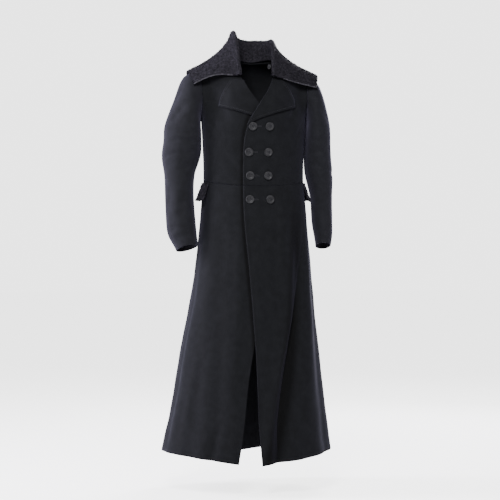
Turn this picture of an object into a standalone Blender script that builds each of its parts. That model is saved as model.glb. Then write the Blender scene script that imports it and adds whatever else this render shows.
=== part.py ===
"""A full-length double-breasted greatcoat, hollow and hanging as it is worn.

Metres, +Z up, front towards -Y, the coat's left towards +X. Heights in the tables are measured from
the hem's front corner; the origin lies between the shoulders, where the wearer holds the coat up.
"""
import math
from collections import namedtuple

import bmesh
import bpy
from mathutils import Vector
from mathutils.bvhtree import BVHTree

# Driving dimensions
HELD_HEIGHT = 1.330
CLOTH = 0.003
PILE_CLOTH = 0.007
SEAM_GAP = 0.0003
LAYER_GAP = 0.0010
BUTTON_GAP = 0.0003
LAPEL_GAP = 0.0022
BUTTON_RADIUS = 0.0140
NECK_BUTTON_RADIUS = 0.0080

# Heights of the cut's main lines
CHEST_HEIGHT = 1.140
WAIST_HEIGHT = 0.918
WAIST_RISE = 0.017
HEM_SIDE_RISE = 0.0350
HEM_QUICKNESS = 1.3
HEM_FRONT_DROP = 0.009
HEM_BACK_RISE = 0.002
BREAK_HEIGHT = 1.121
GORGE_HEIGHT = 1.268

# Shoulder and armhole
NECK_SIDE = 0.072
NECK_SIDE_HEIGHT = 1.350
SHOULDER_TIP = 0.182
SHOULDER_TIP_HEIGHT = 1.312
SHOULDER_SEAM_Y = 0.010
BACK_NECK_Y = 0.058
SHOULDER_ROUND = 2.6
BODY_ROUND = 2.3
ARMHOLE_MIDDLE = 0.008
ARMHOLE_DEPTH = 0.068
ARMHOLE_BLEND = (0.095, 0.178)
ARMHOLE_RISE = 0.055
ARMHOLE_GAP = 0.0004
SHOULDER_TILT = 0.020

# How far the under-front's edge reaches below the over-front
LAP = CLOTH + LAYER_GAP
LAP_FADE = (0.012, 0.060)
LAPEL_LIFT_HEIGHTS = (1.060, 1.096, 1.205, 1.245)
LAPEL_LIFT_FADE = (0.060, 0.100)
LAPEL_ROLL = 0.0045

Ring = namedtuple("Ring", "height half_width front back middle lean")
BODY_RINGS = (
    Ring(0.000, 0.2975, 0.203, 0.294, 0.050, -0.020),
    Ring(0.190, 0.264, 0.187, 0.262, 0.044, -0.013),
    Ring(0.365, 0.238, 0.172, 0.230, 0.036, -0.009),
    Ring(0.535, 0.212, 0.155, 0.195, 0.024, -0.003),
    Ring(0.705, 0.192, 0.140, 0.163, 0.014, 0.000),
    Ring(0.826, 0.181, 0.128, 0.138, 0.008, 0.000),
    Ring(0.918, 0.172, 0.119, 0.114, 0.006, 0.000),
    Ring(0.985, 0.171, 0.118, 0.104, 0.006, 0.000),
    Ring(1.060, 0.174, 0.126, 0.112, 0.007, 0.000),
    Ring(1.140, 0.178, 0.134, 0.128, 0.008, 0.000),
    Ring(1.290, 0.178, 0.134, 0.128, 0.008, -0.005),
    Ring(1.450, 0.178, 0.134, 0.128, 0.008, -0.003),
)

# Where each front's edge runs, as x before the lean; the bodice edge is the left front's
Edge = namedtuple("Edge", "height x")
BODICE_EDGE = (
    Edge(0.900, -0.0535),
    Edge(1.060, -0.0530),
    Edge(1.118, -0.0450),
    Edge(1.145, -0.0300),
    Edge(1.199, 0.0040),
    Edge(1.240, 0.0340),
    Edge(1.270, 0.0480),
    Edge(1.290, 0.0600),
    Edge(1.320, 0.0650),
    Edge(1.350, 0.0720),
)
SKIRT_EDGE_LEFT = (
    Edge(0.000, 0.0160),
    Edge(0.100, 0.0050),
    Edge(0.355, -0.0100),
    Edge(0.560, -0.0290),
    Edge(0.695, -0.0420),
    Edge(0.820, -0.0530),
    Edge(0.918, -0.0535),
)
SKIRT_EDGE_RIGHT = (
    Edge(0.000, -0.0600),
    Edge(0.100, -0.0470),
    Edge(0.253, -0.0350),
    Edge(0.385, -0.0150),
    Edge(0.560, 0.0150),
    Edge(0.695, 0.0360),
    Edge(0.820, 0.0520),
    Edge(0.918, 0.0535),
)

# Folds of the skirt: angles in degrees from the centre front, widths and depths in metres at the hem
Fold = namedtuple("Fold", "at_waist at_hem width depth start")
FOLD_SWING = 0.87
FOLD_QUICKNESS = 1.35
FOLD_WAIST_WIDTH = 0.55
FOLD_RADII = (0.17, 0.29)
MAIN_VALLEY = Fold(60, 13, 0.017, -0.017, 0.88)
SKIRT_FOLDS = (
    MAIN_VALLEY,
    Fold(70, 27, 0.034, 0.009, 0.80),
    Fold(80, 58, 0.030, -0.010, 0.70),
    Fold(-62, -46, 0.022, -0.012, 0.50),
    Fold(-72, -70, 0.030, 0.007, 0.80),
    Fold(-88, -96, 0.030, -0.014, 0.86),
    Fold(96, 104, 0.030, -0.014, 0.86),
    Fold(-112, -122, 0.040, 0.012, 0.86),
    Fold(116, 126, 0.040, 0.012, 0.86),
    Fold(-132, -142, 0.028, -0.018, 0.88),
    Fold(136, 146, 0.030, -0.016, 0.88),
    Fold(-156, -161, 0.036, 0.012, 0.84),
    Fold(159, 166, 0.036, 0.013, 0.84),
    Fold(178, 180, 0.026, -0.015, 0.88),
)

# Sleeve sections: the seam-side and outer points of each flattened ring, seen from the front
Section = namedtuple("Section", "outer_x outer_h inner_x inner_h middle_y half_deep slope")
SLEEVE_RIGHT = (
    Section(0.211, 1.303, 0.1820, 1.134, 0.006, 0.074, 0.00),
    Section(0.235, 1.290, 0.1815, 1.124, 0.004, 0.078, 0.00),
    Section(0.251, 1.262, 0.1800, 1.106, 0.002, 0.080, 0.00),
    Section(0.268, 1.215, 0.1785, 1.083, 0.002, 0.080, 0.00),
    Section(0.290, 1.165, 0.1775, 1.062, 0.003, 0.078, 0.00),
    Section(0.309, 1.118, 0.1770, 1.046, 0.005, 0.075, 0.00),
    Section(0.305, 1.080, 0.1785, 1.028, 0.008, 0.072, 0.00),
    Section(0.314, 1.040, 0.1830, 1.010, 0.011, 0.070, 0.02),
    Section(0.313, 1.005, 0.1900, 0.988, 0.012, 0.068, 0.04),
    Section(0.305, 0.970, 0.2010, 0.962, 0.011, 0.065, 0.05),
    Section(0.304, 0.905, 0.2050, 0.903, 0.005, 0.062, 0.06),
    Section(0.301, 0.845, 0.2025, 0.845, -0.004, 0.058, 0.08),
    Section(0.301, 0.785, 0.1985, 0.788, -0.014, 0.054, 0.12),
    Section(0.297, 0.752, 0.1965, 0.758, -0.019, 0.051, 0.16),
    Section(0.279, 0.726, 0.1945, 0.736, -0.023, 0.048, 0.20),
    Section(0.268, 0.704, 0.1935, 0.720, -0.027, 0.046, 0.24),
)
SLEEVE_LEFT = (
    Section(0.206, 1.300, 0.1820, 1.134, 0.006, 0.074, 0.00),
    Section(0.222, 1.286, 0.1815, 1.124, 0.004, 0.078, 0.00),
    Section(0.237, 1.258, 0.1800, 1.106, 0.004, 0.080, 0.00),
    Section(0.249, 1.214, 0.1785, 1.083, 0.006, 0.080, 0.00),
    Section(0.260, 1.165, 0.1775, 1.062, 0.009, 0.078, 0.00),
    Section(0.268, 1.118, 0.1770, 1.042, 0.012, 0.075, 0.00),
    Section(0.270, 1.075, 0.1770, 1.020, 0.016, 0.073, 0.00),
    Section(0.272, 1.032, 0.1780, 0.995, 0.019, 0.071, 0.02),
    Section(0.275, 0.990, 0.1800, 0.968, 0.020, 0.069, 0.04),
    Section(0.276, 0.945, 0.1880, 0.935, 0.018, 0.066, 0.05),
    Section(0.274, 0.895, 0.2000, 0.890, 0.013, 0.062, 0.06),
    Section(0.272, 0.845, 0.2000, 0.842, 0.005, 0.058, 0.08),
    Section(0.272, 0.800, 0.2000, 0.798, -0.004, 0.054, 0.12),
    Section(0.271, 0.762, 0.2060, 0.762, -0.011, 0.050, 0.16),
    Section(0.268, 0.738, 0.2095, 0.740, -0.015, 0.048, 0.20),
    Section(0.263, 0.718, 0.2110, 0.722, -0.019, 0.046, 0.24),
)

# Half of the collar, from its front end to the centre back: its fold and its outer edge
Rib = namedtuple("Rib", "part fold_x fold_y fold_h edge_x edge_y edge_h")
COLLAR_RIBS = (
    Rib(0.00, 0.0575, -0.1180, 1.287, 0.2100, -0.074, 1.260),
    Rib(0.12, 0.0600, -0.0935, 1.334, 0.2210, -0.042, 1.292),
    Rib(0.25, 0.0615, -0.0550, 1.392, 0.2250, -0.008, 1.308),
    Rib(0.38, 0.0650, -0.0160, 1.425, 0.2220, 0.026, 1.302),
    Rib(0.52, 0.0660, 0.0180, 1.430, 0.2050, 0.070, 1.280),
    Rib(0.68, 0.0580, 0.0500, 1.426, 0.1550, 0.112, 1.250),
    Rib(0.84, 0.0350, 0.0730, 1.421, 0.0850, 0.136, 1.230),
    Rib(1.00, 0.0000, 0.0820, 1.419, 0.0000, 0.145, 1.224),
)
COLLAR_FRONT_SHIFT = 0.0020
COLLAR_PEAK_RAISE = 0.012
COLLAR_END_ARCH_RIGHT = 0.017
COLLAR_END_ARCH_LEFT = 0.000
COLLAR_FOLD_RADIUS = 0.0095
COLLAR_FALL_POWER = 0.68
COLLAR_BASE_RAISE = 0.004
COLLAR_STAND_OFF = 0.0045
STAND_GAP = 0.0007
STAND_TURN = (0.25, 0.60)
STAND_STEPS = (0.0, 0.4, 0.75)
FOLD_DEGREES = (180, 125, 70, 20)
FALL_STEPS = (0.05, 0.13, 0.25, 0.40, 0.56, 0.72, 0.87, 1.0)
COLLAR_PARTS = (0.0, 0.07, 0.14, 0.21, 0.28, 0.36, 0.44, 0.52, 0.61, 0.70, 0.80, 0.90)

# The form that the collar's fall must clear: chest, shoulder and the head of the sleeve
CHEST_REACH_X = 0.150
SLEEVE_HEAD_X = 0.190
SLEEVE_HEAD_DEPTH = 0.082
SLEEVE_HEAD_WIDTH = 0.066
NECK_SIDE_PART = 0.44
COLLAR_START_HEIGHT = 1.291

# Lapels: outline from the break point, over the tip, to the gorge, as x and height on the front
LAPEL_TIP = (0.1290, 1.185)
LAPEL_GORGE_END = (0.0870, 1.272)
LAPEL_LOWER_BOW = 0.007
LAPEL_OUTER_CURVE = 0.006

# Buttons: height of each row and x of its two columns
ButtonRow = namedtuple("ButtonRow", "height over_edge_x inner_x")
BUTTON_ROWS = (
    ButtonRow(1.1175, -0.0240, 0.0310),
    ButtonRow(1.032, -0.0345, 0.0295),
    ButtonRow(0.953, -0.0300, 0.0300),
    ButtonRow(0.873, -0.0315, 0.0360),
)
NECK_BUTTON_PART = 0.13
NECK_BUTTON_STEP = 0.35
NECK_BUTTON_FACING = (-0.80, -0.60, 0.05)

# Turned profile of a button as parts of its radius, from the back to the dished front
Turn = namedtuple("Turn", "radius height")
BUTTON_PROFILE = (
    Turn(0.86, 0.00),
    Turn(1.00, 0.14),
    Turn(0.98, 0.27),
    Turn(0.90, 0.33),
    Turn(0.76, 0.31),
    Turn(0.66, 0.20),
)

# Pocket flaps: set in the waist seam at the sides of the hips
FLAP_ANGLES = (65, 120)
FLAP_FRONT_DEPTH = 0.066
FLAP_BACK_DEPTH = 0.055
FLAP_FLARE = 0.017
FLAP_CLOTH = 0.0045
FLAP_CORNER = 0.010
FLAP_GAP = 0.0009
FLAP_TOP_DROP = 0.002

# Grid sizes of the walls
SKIRT_ROWS = 15
BODICE_ROWS = 6
SHOULDER_ROWS = 8
FRONT_COLUMNS = 11
BACK_COLUMNS = 9
SKIRT_BACK_COLUMNS = 30
SKIRT_FRONT_COLUMNS = 15
VALLEY_COLUMNS = (0, 6, 7, 8, 9, 10, 15)
VALLEY_WIDTHS = (-1.6, -0.8, 0.0, 0.8, 1.6)
SHOULDER_ROW_POWER = 1.8
SHOULDER_SEAM_PART = 0.0035

# Widths that the seam gaps are shared out over
BODICE_PANEL_WIDTH = 0.26
SKIRT_PANEL_WIDTH = 0.35
SLEEVE_SIDES = 18
BUTTON_SIDES = 14
SEAT_HEIGHT = 0.050


def row_at(rows, key):
    """The row of a table at this key, on a smooth curve through its rows."""
    low_at = max(0, min(len(rows) - 2, sum(1 for row in rows[1:-1] if row[0] <= key)))
    low, high = rows[low_at], rows[low_at + 1]
    span = high[0] - low[0]
    part = (key - low[0]) / span

    def slope(at, column):
        before, after = rows[max(at - 1, 0)], rows[min(at + 1, len(rows) - 1)]
        return (after[column] - before[column]) / (after[0] - before[0])

    values = [key]
    for column in range(1, len(low)):
        start, end = low[column], high[column]
        start_slope, end_slope = slope(low_at, column), slope(low_at + 1, column)
        if part < 0:
            values.append(start + start_slope * (key - low[0]))
        elif part > 1:
            values.append(end + end_slope * (key - high[0]))
        else:
            square, cube = part * part, part ** 3
            values.append(
                (2 * cube - 3 * square + 1) * start
                + (cube - 2 * square + part) * span * start_slope
                + (3 * square - 2 * cube) * end
                + (cube - square) * span * end_slope
            )
    return type(low)(*values)


def mix(start, end, part):
    return start + (end - start) * part


def ease(low, high, value):
    """0 below low, 1 above high, and a smooth rise between."""
    part = max(0.0, min(1.0, (value - low) / (high - low)))
    return part * part * (3 - 2 * part)


def rounded(value, power):
    return math.copysign(abs(value) ** power, value)


def place(x, y, height):
    """A point of the coat, with the skirt's lean and the shoulders' tilt, in the part's frame."""
    lean = row_at(BODY_RINGS, height).lean
    tilt = SHOULDER_TILT * x * ease(CHEST_HEIGHT, SHOULDER_TIP_HEIGHT, height)
    return Vector((x + lean, y, height - tilt - HELD_HEIGHT))


def fold_rise(angle, height):
    """How far the skirt's folds push its outer face out at this angle in degrees."""
    rise = 0.0
    for fold in SKIRT_FOLDS:
        fall = max(0.0, (fold.start - height) / fold.start)
        down = max(0.0, (WAIST_HEIGHT - height) / WAIST_HEIGHT)
        middle = mix(fold.at_waist, fold.at_hem, ease(0, FOLD_SWING, down))
        off = (angle - middle + 180) % 360 - 180
        radius = mix(*FOLD_RADII, down)
        width = fold.width * mix(FOLD_WAIST_WIDTH, 1.0, down)
        across = math.radians(off) * radius / width
        rise += fold.depth * ease(0, 1, FOLD_QUICKNESS * fall) * math.exp(-across * across)
    return rise


def body_point(angle, height):
    """Outer face of body and skirt at an angle in degrees from the centre front."""
    ring = row_at(BODY_RINGS, height)
    sine, cosine = math.sin(math.radians(angle)), math.cos(math.radians(angle))
    side, fore = rounded(sine, 2 / BODY_ROUND), rounded(cosine, 2 / BODY_ROUND)
    reach = ring.front + ring.middle if fore > 0 else ring.back - ring.middle
    rise = fold_rise(angle, height) if height < WAIST_HEIGHT else 0.0
    return (
        ring.half_width * side + rise * sine,
        ring.middle - reach * fore - rise * cosine,
        height,
    )


def angle_at(x, height):
    """The angle at which the front of the body passes x."""
    part = max(-1.0, min(1.0, x / row_at(BODY_RINGS, height).half_width))
    return math.degrees(math.asin(rounded(part, BODY_ROUND / 2)))


def shoulder_height(x):
    """Height of the shoulder seam at x."""
    fall = (NECK_SIDE_HEIGHT - SHOULDER_TIP_HEIGHT) / (SHOULDER_TIP - NECK_SIDE)
    return NECK_SIDE_HEIGHT - fall * max(0.0, abs(x) - NECK_SIDE)


def face_y(x, height, front):
    """y of the front's or the back's outer face at x and height, over chest and shoulder."""
    ring = row_at(BODY_RINGS, min(height, CHEST_HEIGHT))
    reach = -(ring.front + ring.middle) if front else ring.back - ring.middle
    across = min(1.0, abs(x) / ring.half_width)
    y = ring.middle + reach * (1 - across ** BODY_ROUND) ** (1 / BODY_ROUND)
    if height <= CHEST_HEIGHT:
        return y
    up = min(1.0, (height - CHEST_HEIGHT) / (shoulder_height(x) - CHEST_HEIGHT))
    dome = (1 - up ** SHOULDER_ROUND) ** (1 / SHOULDER_ROUND)
    y = SHOULDER_SEAM_Y + (y - SHOULDER_SEAM_Y) * dome
    turn = math.acos(max(-1.0, min(1.0, 1 - 2 * up)))
    arm = mix(ARMHOLE_MIDDLE, SHOULDER_SEAM_Y, up)
    arm += (-1 if front else 1) * ARMHOLE_DEPTH * math.sin(turn)
    weight = ease(*ARMHOLE_BLEND, abs(x)) * ease(0, ARMHOLE_RISE, height - CHEST_HEIGHT)
    return mix(y, arm, weight)


def neckline_height(part):
    """Height along the front edge above the chest line, for a part from 0 to 1."""
    return mix(CHEST_HEIGHT, NECK_SIDE_HEIGHT, part)


def armhole_part(part):
    """Part of the armhole's height after this part of its half turn."""
    return (1 - math.cos(math.pi * part)) / 2


def upper_point(across, part, front):
    """Point of the bodice above the chest line: across from neck side to armhole, part upwards."""
    ring = row_at(BODY_RINGS, CHEST_HEIGHT)
    inner = row_at(BODICE_EDGE, neckline_height(part)).x if front else 0.0
    outer = mix(ring.half_width, SHOULDER_TIP, armhole_part(part))
    x = mix(inner, outer, across)
    rise = mix(part, armhole_part(part), across * across)
    if front:
        top = shoulder_height(mix(NECK_SIDE, SHOULDER_TIP, across))
    else:
        top_x = across * SHOULDER_TIP
        top = shoulder_height(top_x)
        if top_x < NECK_SIDE:
            depth = mix(BACK_NECK_Y, SHOULDER_SEAM_Y, (top_x / NECK_SIDE) ** 2)
            full = face_y(top_x, CHEST_HEIGHT, False) - SHOULDER_SEAM_Y
            back_off = (depth - SHOULDER_SEAM_Y) / full
            dome = (1 - back_off ** SHOULDER_ROUND) ** (1 / SHOULDER_ROUND)
            top = mix(CHEST_HEIGHT, top, dome)
    height = mix(CHEST_HEIGHT, top, rise)
    return x, face_y(x, height, front), height


def lap_lift(x, height):
    """How far the left front is raised over the layers below it."""
    if height > WAIST_HEIGHT:
        under = -row_at(BODICE_EDGE, min(height, BREAK_HEIGHT)).x
    else:
        under = row_at(SKIRT_EDGE_RIGHT, height).x
    low, full, end, gone = LAPEL_LIFT_HEIGHTS
    lift = LAP * (1 - ease(under + LAP_FADE[0], under + LAP_FADE[1], x))
    over_lapel = ease(low, full, height) * (1 - ease(end, gone, height))
    over_lapel *= 1 - ease(*LAPEL_LIFT_FADE, x)
    return lift * (1 - ease(end, gone, height)) + over_lapel * (CLOTH + LAPEL_GAP + LAYER_GAP)


def waist_height(angle):
    return WAIST_HEIGHT + WAIST_RISE * math.sin(math.radians(angle)) ** 2


def hem_height(angle):
    sine, cosine = math.sin(math.radians(angle)), math.cos(math.radians(angle))
    rise = 1 - (1 - abs(sine)) ** HEM_QUICKNESS
    return HEM_SIDE_RISE * rise + HEM_BACK_RISE * (1 - cosine) / 2 - HEM_FRONT_DROP


def unit_normal(surface, u, v, centre):
    """Unit normal of a surface at u, v that points away from the centre line."""
    step = 0.004
    along = surface(u + step, v) - surface(u - step, v)
    up = surface(u, v + step) - surface(u, v - step)
    normal = along.cross(up).normalized()
    point = surface(u, v)
    outward = point - Vector((centre[0], centre[1], point.z + centre[2]))
    return normal if normal.dot(outward) > 0 else -normal


def raised_surface(surface, lift, centre=(0.0, 0.0, 0.0)):
    """The surface moved out by lift(u, v) along its normal."""

    def moved(u, v):
        return surface(u, v) + unit_normal(surface, u, v, centre) * lift(u, v)

    return moved


def grid_of(surface, columns, rows):
    return [[surface(u, v) for u in columns] for v in rows]


def wall_of(name, surface, columns, rows, thickness, material, centre=(0.0, 0.0, 0.0)):
    """A wall of cloth whose outer face is the surface, sampled at these columns and rows."""
    outer = grid_of(surface, columns, rows)

    def under(u, v):
        return surface(u, v) - unit_normal(surface, u, v, centre) * thickness

    return wall_between(name, outer, grid_of(under, columns, rows), material)


def wall_between(name, outer, inner, material, closed=False):
    """One solid between two grids of points; a closed one joins its last column to its first."""
    mesh = bpy.data.meshes.new(name)
    rows, columns = len(outer), len(outer[0])
    points = [point for grid in (outer, inner) for row in grid for point in row]

    def index(side, row, column):
        return side * rows * columns + row * columns + column % columns

    faces = []
    spans = columns if closed else columns - 1
    for row in range(rows - 1):
        for column in range(spans):
            for side in (0, 1):
                faces.append([
                    index(side, row, column),
                    index(side, row, column + 1),
                    index(side, row + 1, column + 1),
                    index(side, row + 1, column),
                ])
    for row in (0, rows - 1):
        for column in range(spans):
            faces.append([
                index(0, row, column),
                index(0, row, column + 1),
                index(1, row, column + 1),
                index(1, row, column),
            ])
    if not closed:
        for column in (0, columns - 1):
            for row in range(rows - 1):
                faces.append([
                    index(0, row, column),
                    index(0, row + 1, column),
                    index(1, row + 1, column),
                    index(1, row, column),
                ])
    mesh.from_pydata([tuple(point) for point in points], [], faces)
    return finished(name, mesh, material)


def finished(name, mesh, material):
    """Turns the mesh's faces outwards, shades it and adds it to the scene under this name."""
    shape = bmesh.new()
    shape.from_mesh(mesh)
    bmesh.ops.recalc_face_normals(shape, faces=shape.faces)
    bmesh.ops.triangulate(shape, faces=shape.faces, quad_method="FIXED")
    shape.to_mesh(mesh)
    shape.free()
    mesh.shade_smooth()
    mesh.set_sharp_from_angle(angle=math.radians(40))
    mesh.materials.append(material)
    piece = bpy.data.objects.new(name, mesh)
    bpy.context.scene.collection.objects.link(piece)
    return piece


def principled(name, color, roughness, sheen):
    material = bpy.data.materials.new(name)
    material.use_nodes = True
    shader = material.node_tree.nodes["Principled BSDF"]
    shader.inputs["Base Color"].default_value = (*color, 1.0)
    shader.inputs["Roughness"].default_value = roughness
    shader.inputs["Metallic"].default_value = 0.0
    shader.inputs["Sheen Weight"].default_value = sheen
    return material


def spread(count, start=0.0, end=1.0):
    return [mix(start, end, i / (count - 1)) for i in range(count)]


def seam_parts(length, count, start_gap=True, end_gap=True):
    """Evenly spread parts of a length, drawn in by half the seam gap at the ends that are sewn."""
    half = SEAM_GAP / 2 / length
    return spread(count, half if start_gap else 0.0, 1 - half if end_gap else 1.0)


def bodice_surface(side, front):
    """The bodice's outer face on one side (+1 is the coat's left): u from its inner edge to the side
    seam and armhole, v from the waist seam (0) over the chest line (1) to the shoulder (2)."""

    def surface(u, v):
        at_chest = row_at(BODICE_EDGE, CHEST_HEIGHT).x
        wide = row_at(BODY_RINGS, CHEST_HEIGHT).half_width
        if front:
            angle_chest = mix(angle_at(at_chest, CHEST_HEIGHT), 90, u)
        else:
            angle_chest = mix(180, 90, u)
        if v <= 1:
            if front:
                seam_edge = angle_at(row_at(BODICE_EDGE, WAIST_HEIGHT).x, WAIST_HEIGHT)
                height = mix(waist_height(mix(seam_edge, 90, u)), CHEST_HEIGHT, v)
                edge = angle_at(row_at(BODICE_EDGE, height).x, height)
                angle = mix(edge, 90, u)
            else:
                angle = angle_chest
                height = mix(waist_height(angle), CHEST_HEIGHT, v)
            x, y, height = body_point(angle, height)
        else:
            x = body_point(angle_chest, CHEST_HEIGHT)[0]
            inner = at_chest if front else 0.0
            across = (x - inner) / (wide - inner)
            rise = 1 - (2 - v) ** SHOULDER_ROW_POWER if v < 2 else v - 1
            x, y, height = upper_point(across, rise, front)
        return place(side * x, y, height)

    return surface


def build_bodice(wool):
    """Two fronts that lap at the centre and a back in one piece."""
    lower = seam_parts(CHEST_HEIGHT - WAIST_HEIGHT, BODICE_ROWS, end_gap=False)
    upper = [1 + part for part in spread(SHOULDER_ROWS, 0.0, 1.0)[1:]]
    rows = lower + upper[:-1] + [2 - SHOULDER_SEAM_PART]
    columns = seam_parts(BODICE_PANEL_WIDTH, FRONT_COLUMNS, start_gap=False)

    def left_lift(u, v):
        point = bodice_surface(1, True)(u, v)
        return lap_lift(point.x, point.z + HELD_HEIGHT)

    left = raised_surface(bodice_surface(1, True), left_lift)
    wall_of("bodice_front_left", left, columns, rows, CLOTH, wool)
    wall_of("bodice_front_right", bodice_surface(-1, True), columns, rows, CLOTH, wool)
    halves = {side: bodice_surface(side, False) for side in (-1, 1)}

    def back(u, v):
        side = -1 if u < 0 else 1
        return halves[side](abs(u), v)

    half = seam_parts(BODICE_PANEL_WIDTH, BACK_COLUMNS, start_gap=False)
    wall_of("bodice_back", back, [-u for u in half[:0:-1]] + half, rows, CLOTH, wool)


def skirt_surface(start, end):
    """The skirt's outer face: u through the angles from start(height) to end(height), v upwards."""

    def surface(u, v):
        level = mix(0.0, WAIST_HEIGHT, v)
        angle = mix(start(level), end(level), u)
        height = mix(hem_height(angle), waist_height(angle), v)
        angle = mix(start(height), end(height), u)
        return place(*body_point(angle, height))

    return surface


def valley_parts(height):
    """Where the main valley crosses the left skirt front, as parts of the panel's width."""
    down = (WAIST_HEIGHT - height) / WAIST_HEIGHT
    swing = ease(0, FOLD_SWING, down)
    middle = mix(MAIN_VALLEY.at_waist, MAIN_VALLEY.at_hem, swing)
    start = angle_at(row_at(SKIRT_EDGE_LEFT, height).x, height)
    width = MAIN_VALLEY.width * mix(FOLD_WAIST_WIDTH, 1.0, down)
    half = math.degrees(width / mix(*FOLD_RADII, down))
    return [(middle + off * half - start) / (90 - start) for off in VALLEY_WIDTHS]


def build_skirt(wool):
    """Two fronts and a back, flaring from the waist seam to the hem."""
    rows = seam_parts(WAIST_HEIGHT, SKIRT_ROWS, start_gap=False)

    def left_edge(height):
        return angle_at(row_at(SKIRT_EDGE_LEFT, height).x, height)

    def right_edge(height):
        return angle_at(row_at(SKIRT_EDGE_RIGHT, height).x, height)

    plain_left = skirt_surface(left_edge, lambda height: 90)

    def gathered_left(u, v):
        """The left front with its columns drawn together along the main valley."""
        height = mix(0.0, WAIST_HEIGHT, v)
        knots = [0.0, *valley_parts(height), 1.0]
        steps = VALLEY_COLUMNS
        at = u * steps[-1]
        low = max(0, min(len(steps) - 2, sum(1 for step in steps[1:-1] if step <= at)))
        part = (at - steps[low]) / (steps[low + 1] - steps[low])
        return plain_left(mix(knots[low], knots[low + 1], part), v)

    def left_lift(u, v):
        point = gathered_left(u, v)
        height = point.z + HELD_HEIGHT
        return lap_lift(point.x - row_at(BODY_RINGS, height).lean, height)

    left = raised_surface(gathered_left, left_lift)
    columns = spread(VALLEY_COLUMNS[-1] + 1)
    columns[-1] = 1 - SEAM_GAP / 2 / SKIRT_PANEL_WIDTH
    wall_of("skirt_front_left", left, columns, rows, CLOTH, wool)
    right = skirt_surface(right_edge, lambda height: -90)
    columns = seam_parts(SKIRT_PANEL_WIDTH, SKIRT_FRONT_COLUMNS, start_gap=False)
    wall_of("skirt_front_right", right, columns, rows, CLOTH, wool)
    back = skirt_surface(lambda height: 90, lambda height: 270)
    columns = seam_parts(2 * SKIRT_PANEL_WIDTH, SKIRT_BACK_COLUMNS)
    wall_of("skirt_back", back, columns, rows, CLOTH, wool)


def armhole_ring(side, inset):
    """The sleeve's first ring, just outside the armhole; inset moves it in towards its middle."""
    wide = row_at(BODY_RINGS, CHEST_HEIGHT).half_width
    middle_height = (CHEST_HEIGHT + SHOULDER_TIP_HEIGHT) / 2
    ring = []
    for i in range(SLEEVE_SIDES):
        turn = 2 * math.pi * i / SLEEVE_SIDES
        up = (1 + math.cos(turn)) / 2
        height = mix(CHEST_HEIGHT, SHOULDER_TIP_HEIGHT, up)
        x = mix(wide, SHOULDER_TIP, up)
        y = face_y(x, height, math.sin(turn) > 0)
        off = Vector((0.0, y - SHOULDER_SEAM_Y, height - middle_height))
        off -= off.normalized() * inset
        x += ARMHOLE_GAP
        ring.append(place(side * x, SHOULDER_SEAM_Y + off.y, middle_height + off.z))
    return ring


def section_ring(side, section, inset):
    """A flattened ring of a sleeve, from its outer point round by the front."""
    outer = Vector((section.outer_x, 0.0, section.outer_h))
    inner = Vector((section.inner_x, 0.0, section.inner_h))
    middle, across = (outer + inner) / 2, (outer - inner) / 2
    half = across.length - inset
    across.normalize()
    ring = []
    for i in range(SLEEVE_SIDES):
        turn = 2 * math.pi * i / SLEEVE_SIDES
        point = middle + across * half * math.cos(turn)
        y = -(section.half_deep - inset) * math.sin(turn)
        height = point.z - section.slope * y
        ring.append(place(side * point.x, section.middle_y + y, height))
    return ring


def build_sleeves(wool):
    for name, side, sections in (
        ("sleeve_left", 1, SLEEVE_LEFT),
        ("sleeve_right", -1, SLEEVE_RIGHT),
    ):
        outer = [armhole_ring(side, 0.0)]
        outer += [section_ring(side, section, 0.0) for section in sections]
        inner = [armhole_ring(side, CLOTH)]
        inner += [section_ring(side, section, CLOTH) for section in sections]
        wall_between(name, outer, inner, wool, closed=True)


def outside_of(point, margin):
    """The point, moved out along the coat's form until it lies this far outside shoulder and chest."""
    x, y, height = point
    for _ in range(6):
        def inside(px, py, ph):
            seam = SHOULDER_SEAM_Y
            aside = abs(px)
            reach = abs(face_y(min(aside, CHEST_REACH_X), CHEST_HEIGHT, py < seam) - seam)
            reach = mix(reach, SLEEVE_HEAD_DEPTH, ease(CHEST_REACH_X, SLEEVE_HEAD_X, aside))
            ring_x = max(0.0, aside - SHOULDER_TIP) / SLEEVE_HEAD_WIDTH
            top = shoulder_height(min(aside, SHOULDER_TIP)) - CHEST_HEIGHT
            across = (abs(py - seam) / reach) ** SHOULDER_ROUND
            up = (max(0.0, ph - CHEST_HEIGHT) / top) ** SHOULDER_ROUND
            return across + up + ring_x ** 2 - 1

        value = inside(x, y, height)
        tiny = 0.0005
        slope = Vector((
            inside(x + tiny, y, height) - inside(x - tiny, y, height),
            inside(x, y + tiny, height) - inside(x, y - tiny, height),
            inside(x, y, height + tiny) - inside(x, y, height - tiny),
        )) / (2 * tiny)
        steep = max(slope.length, 1e-6)
        short = margin - value / steep
        if short <= 0:
            break
        out = slope / steep
        x, y, height = x + out.x * short, y + out.y * short, height + out.z * short
    return Vector((x, y, height))


def neckline_point(part):
    """The bodice's neckline from the gorge (0) by the neck side to the centre back (1)."""
    if part <= NECK_SIDE_PART:
        height = mix(COLLAR_START_HEIGHT, NECK_SIDE_HEIGHT, part / NECK_SIDE_PART)
        x = row_at(BODICE_EDGE, height).x
        return Vector((x, face_y(x, height, True), height))
    across = 1 - (part - NECK_SIDE_PART) / (1 - NECK_SIDE_PART)
    x = NECK_SIDE * math.sin(across * math.pi / 2)
    across = x / SHOULDER_TIP
    return Vector(upper_point(across, 1.0, False))


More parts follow.
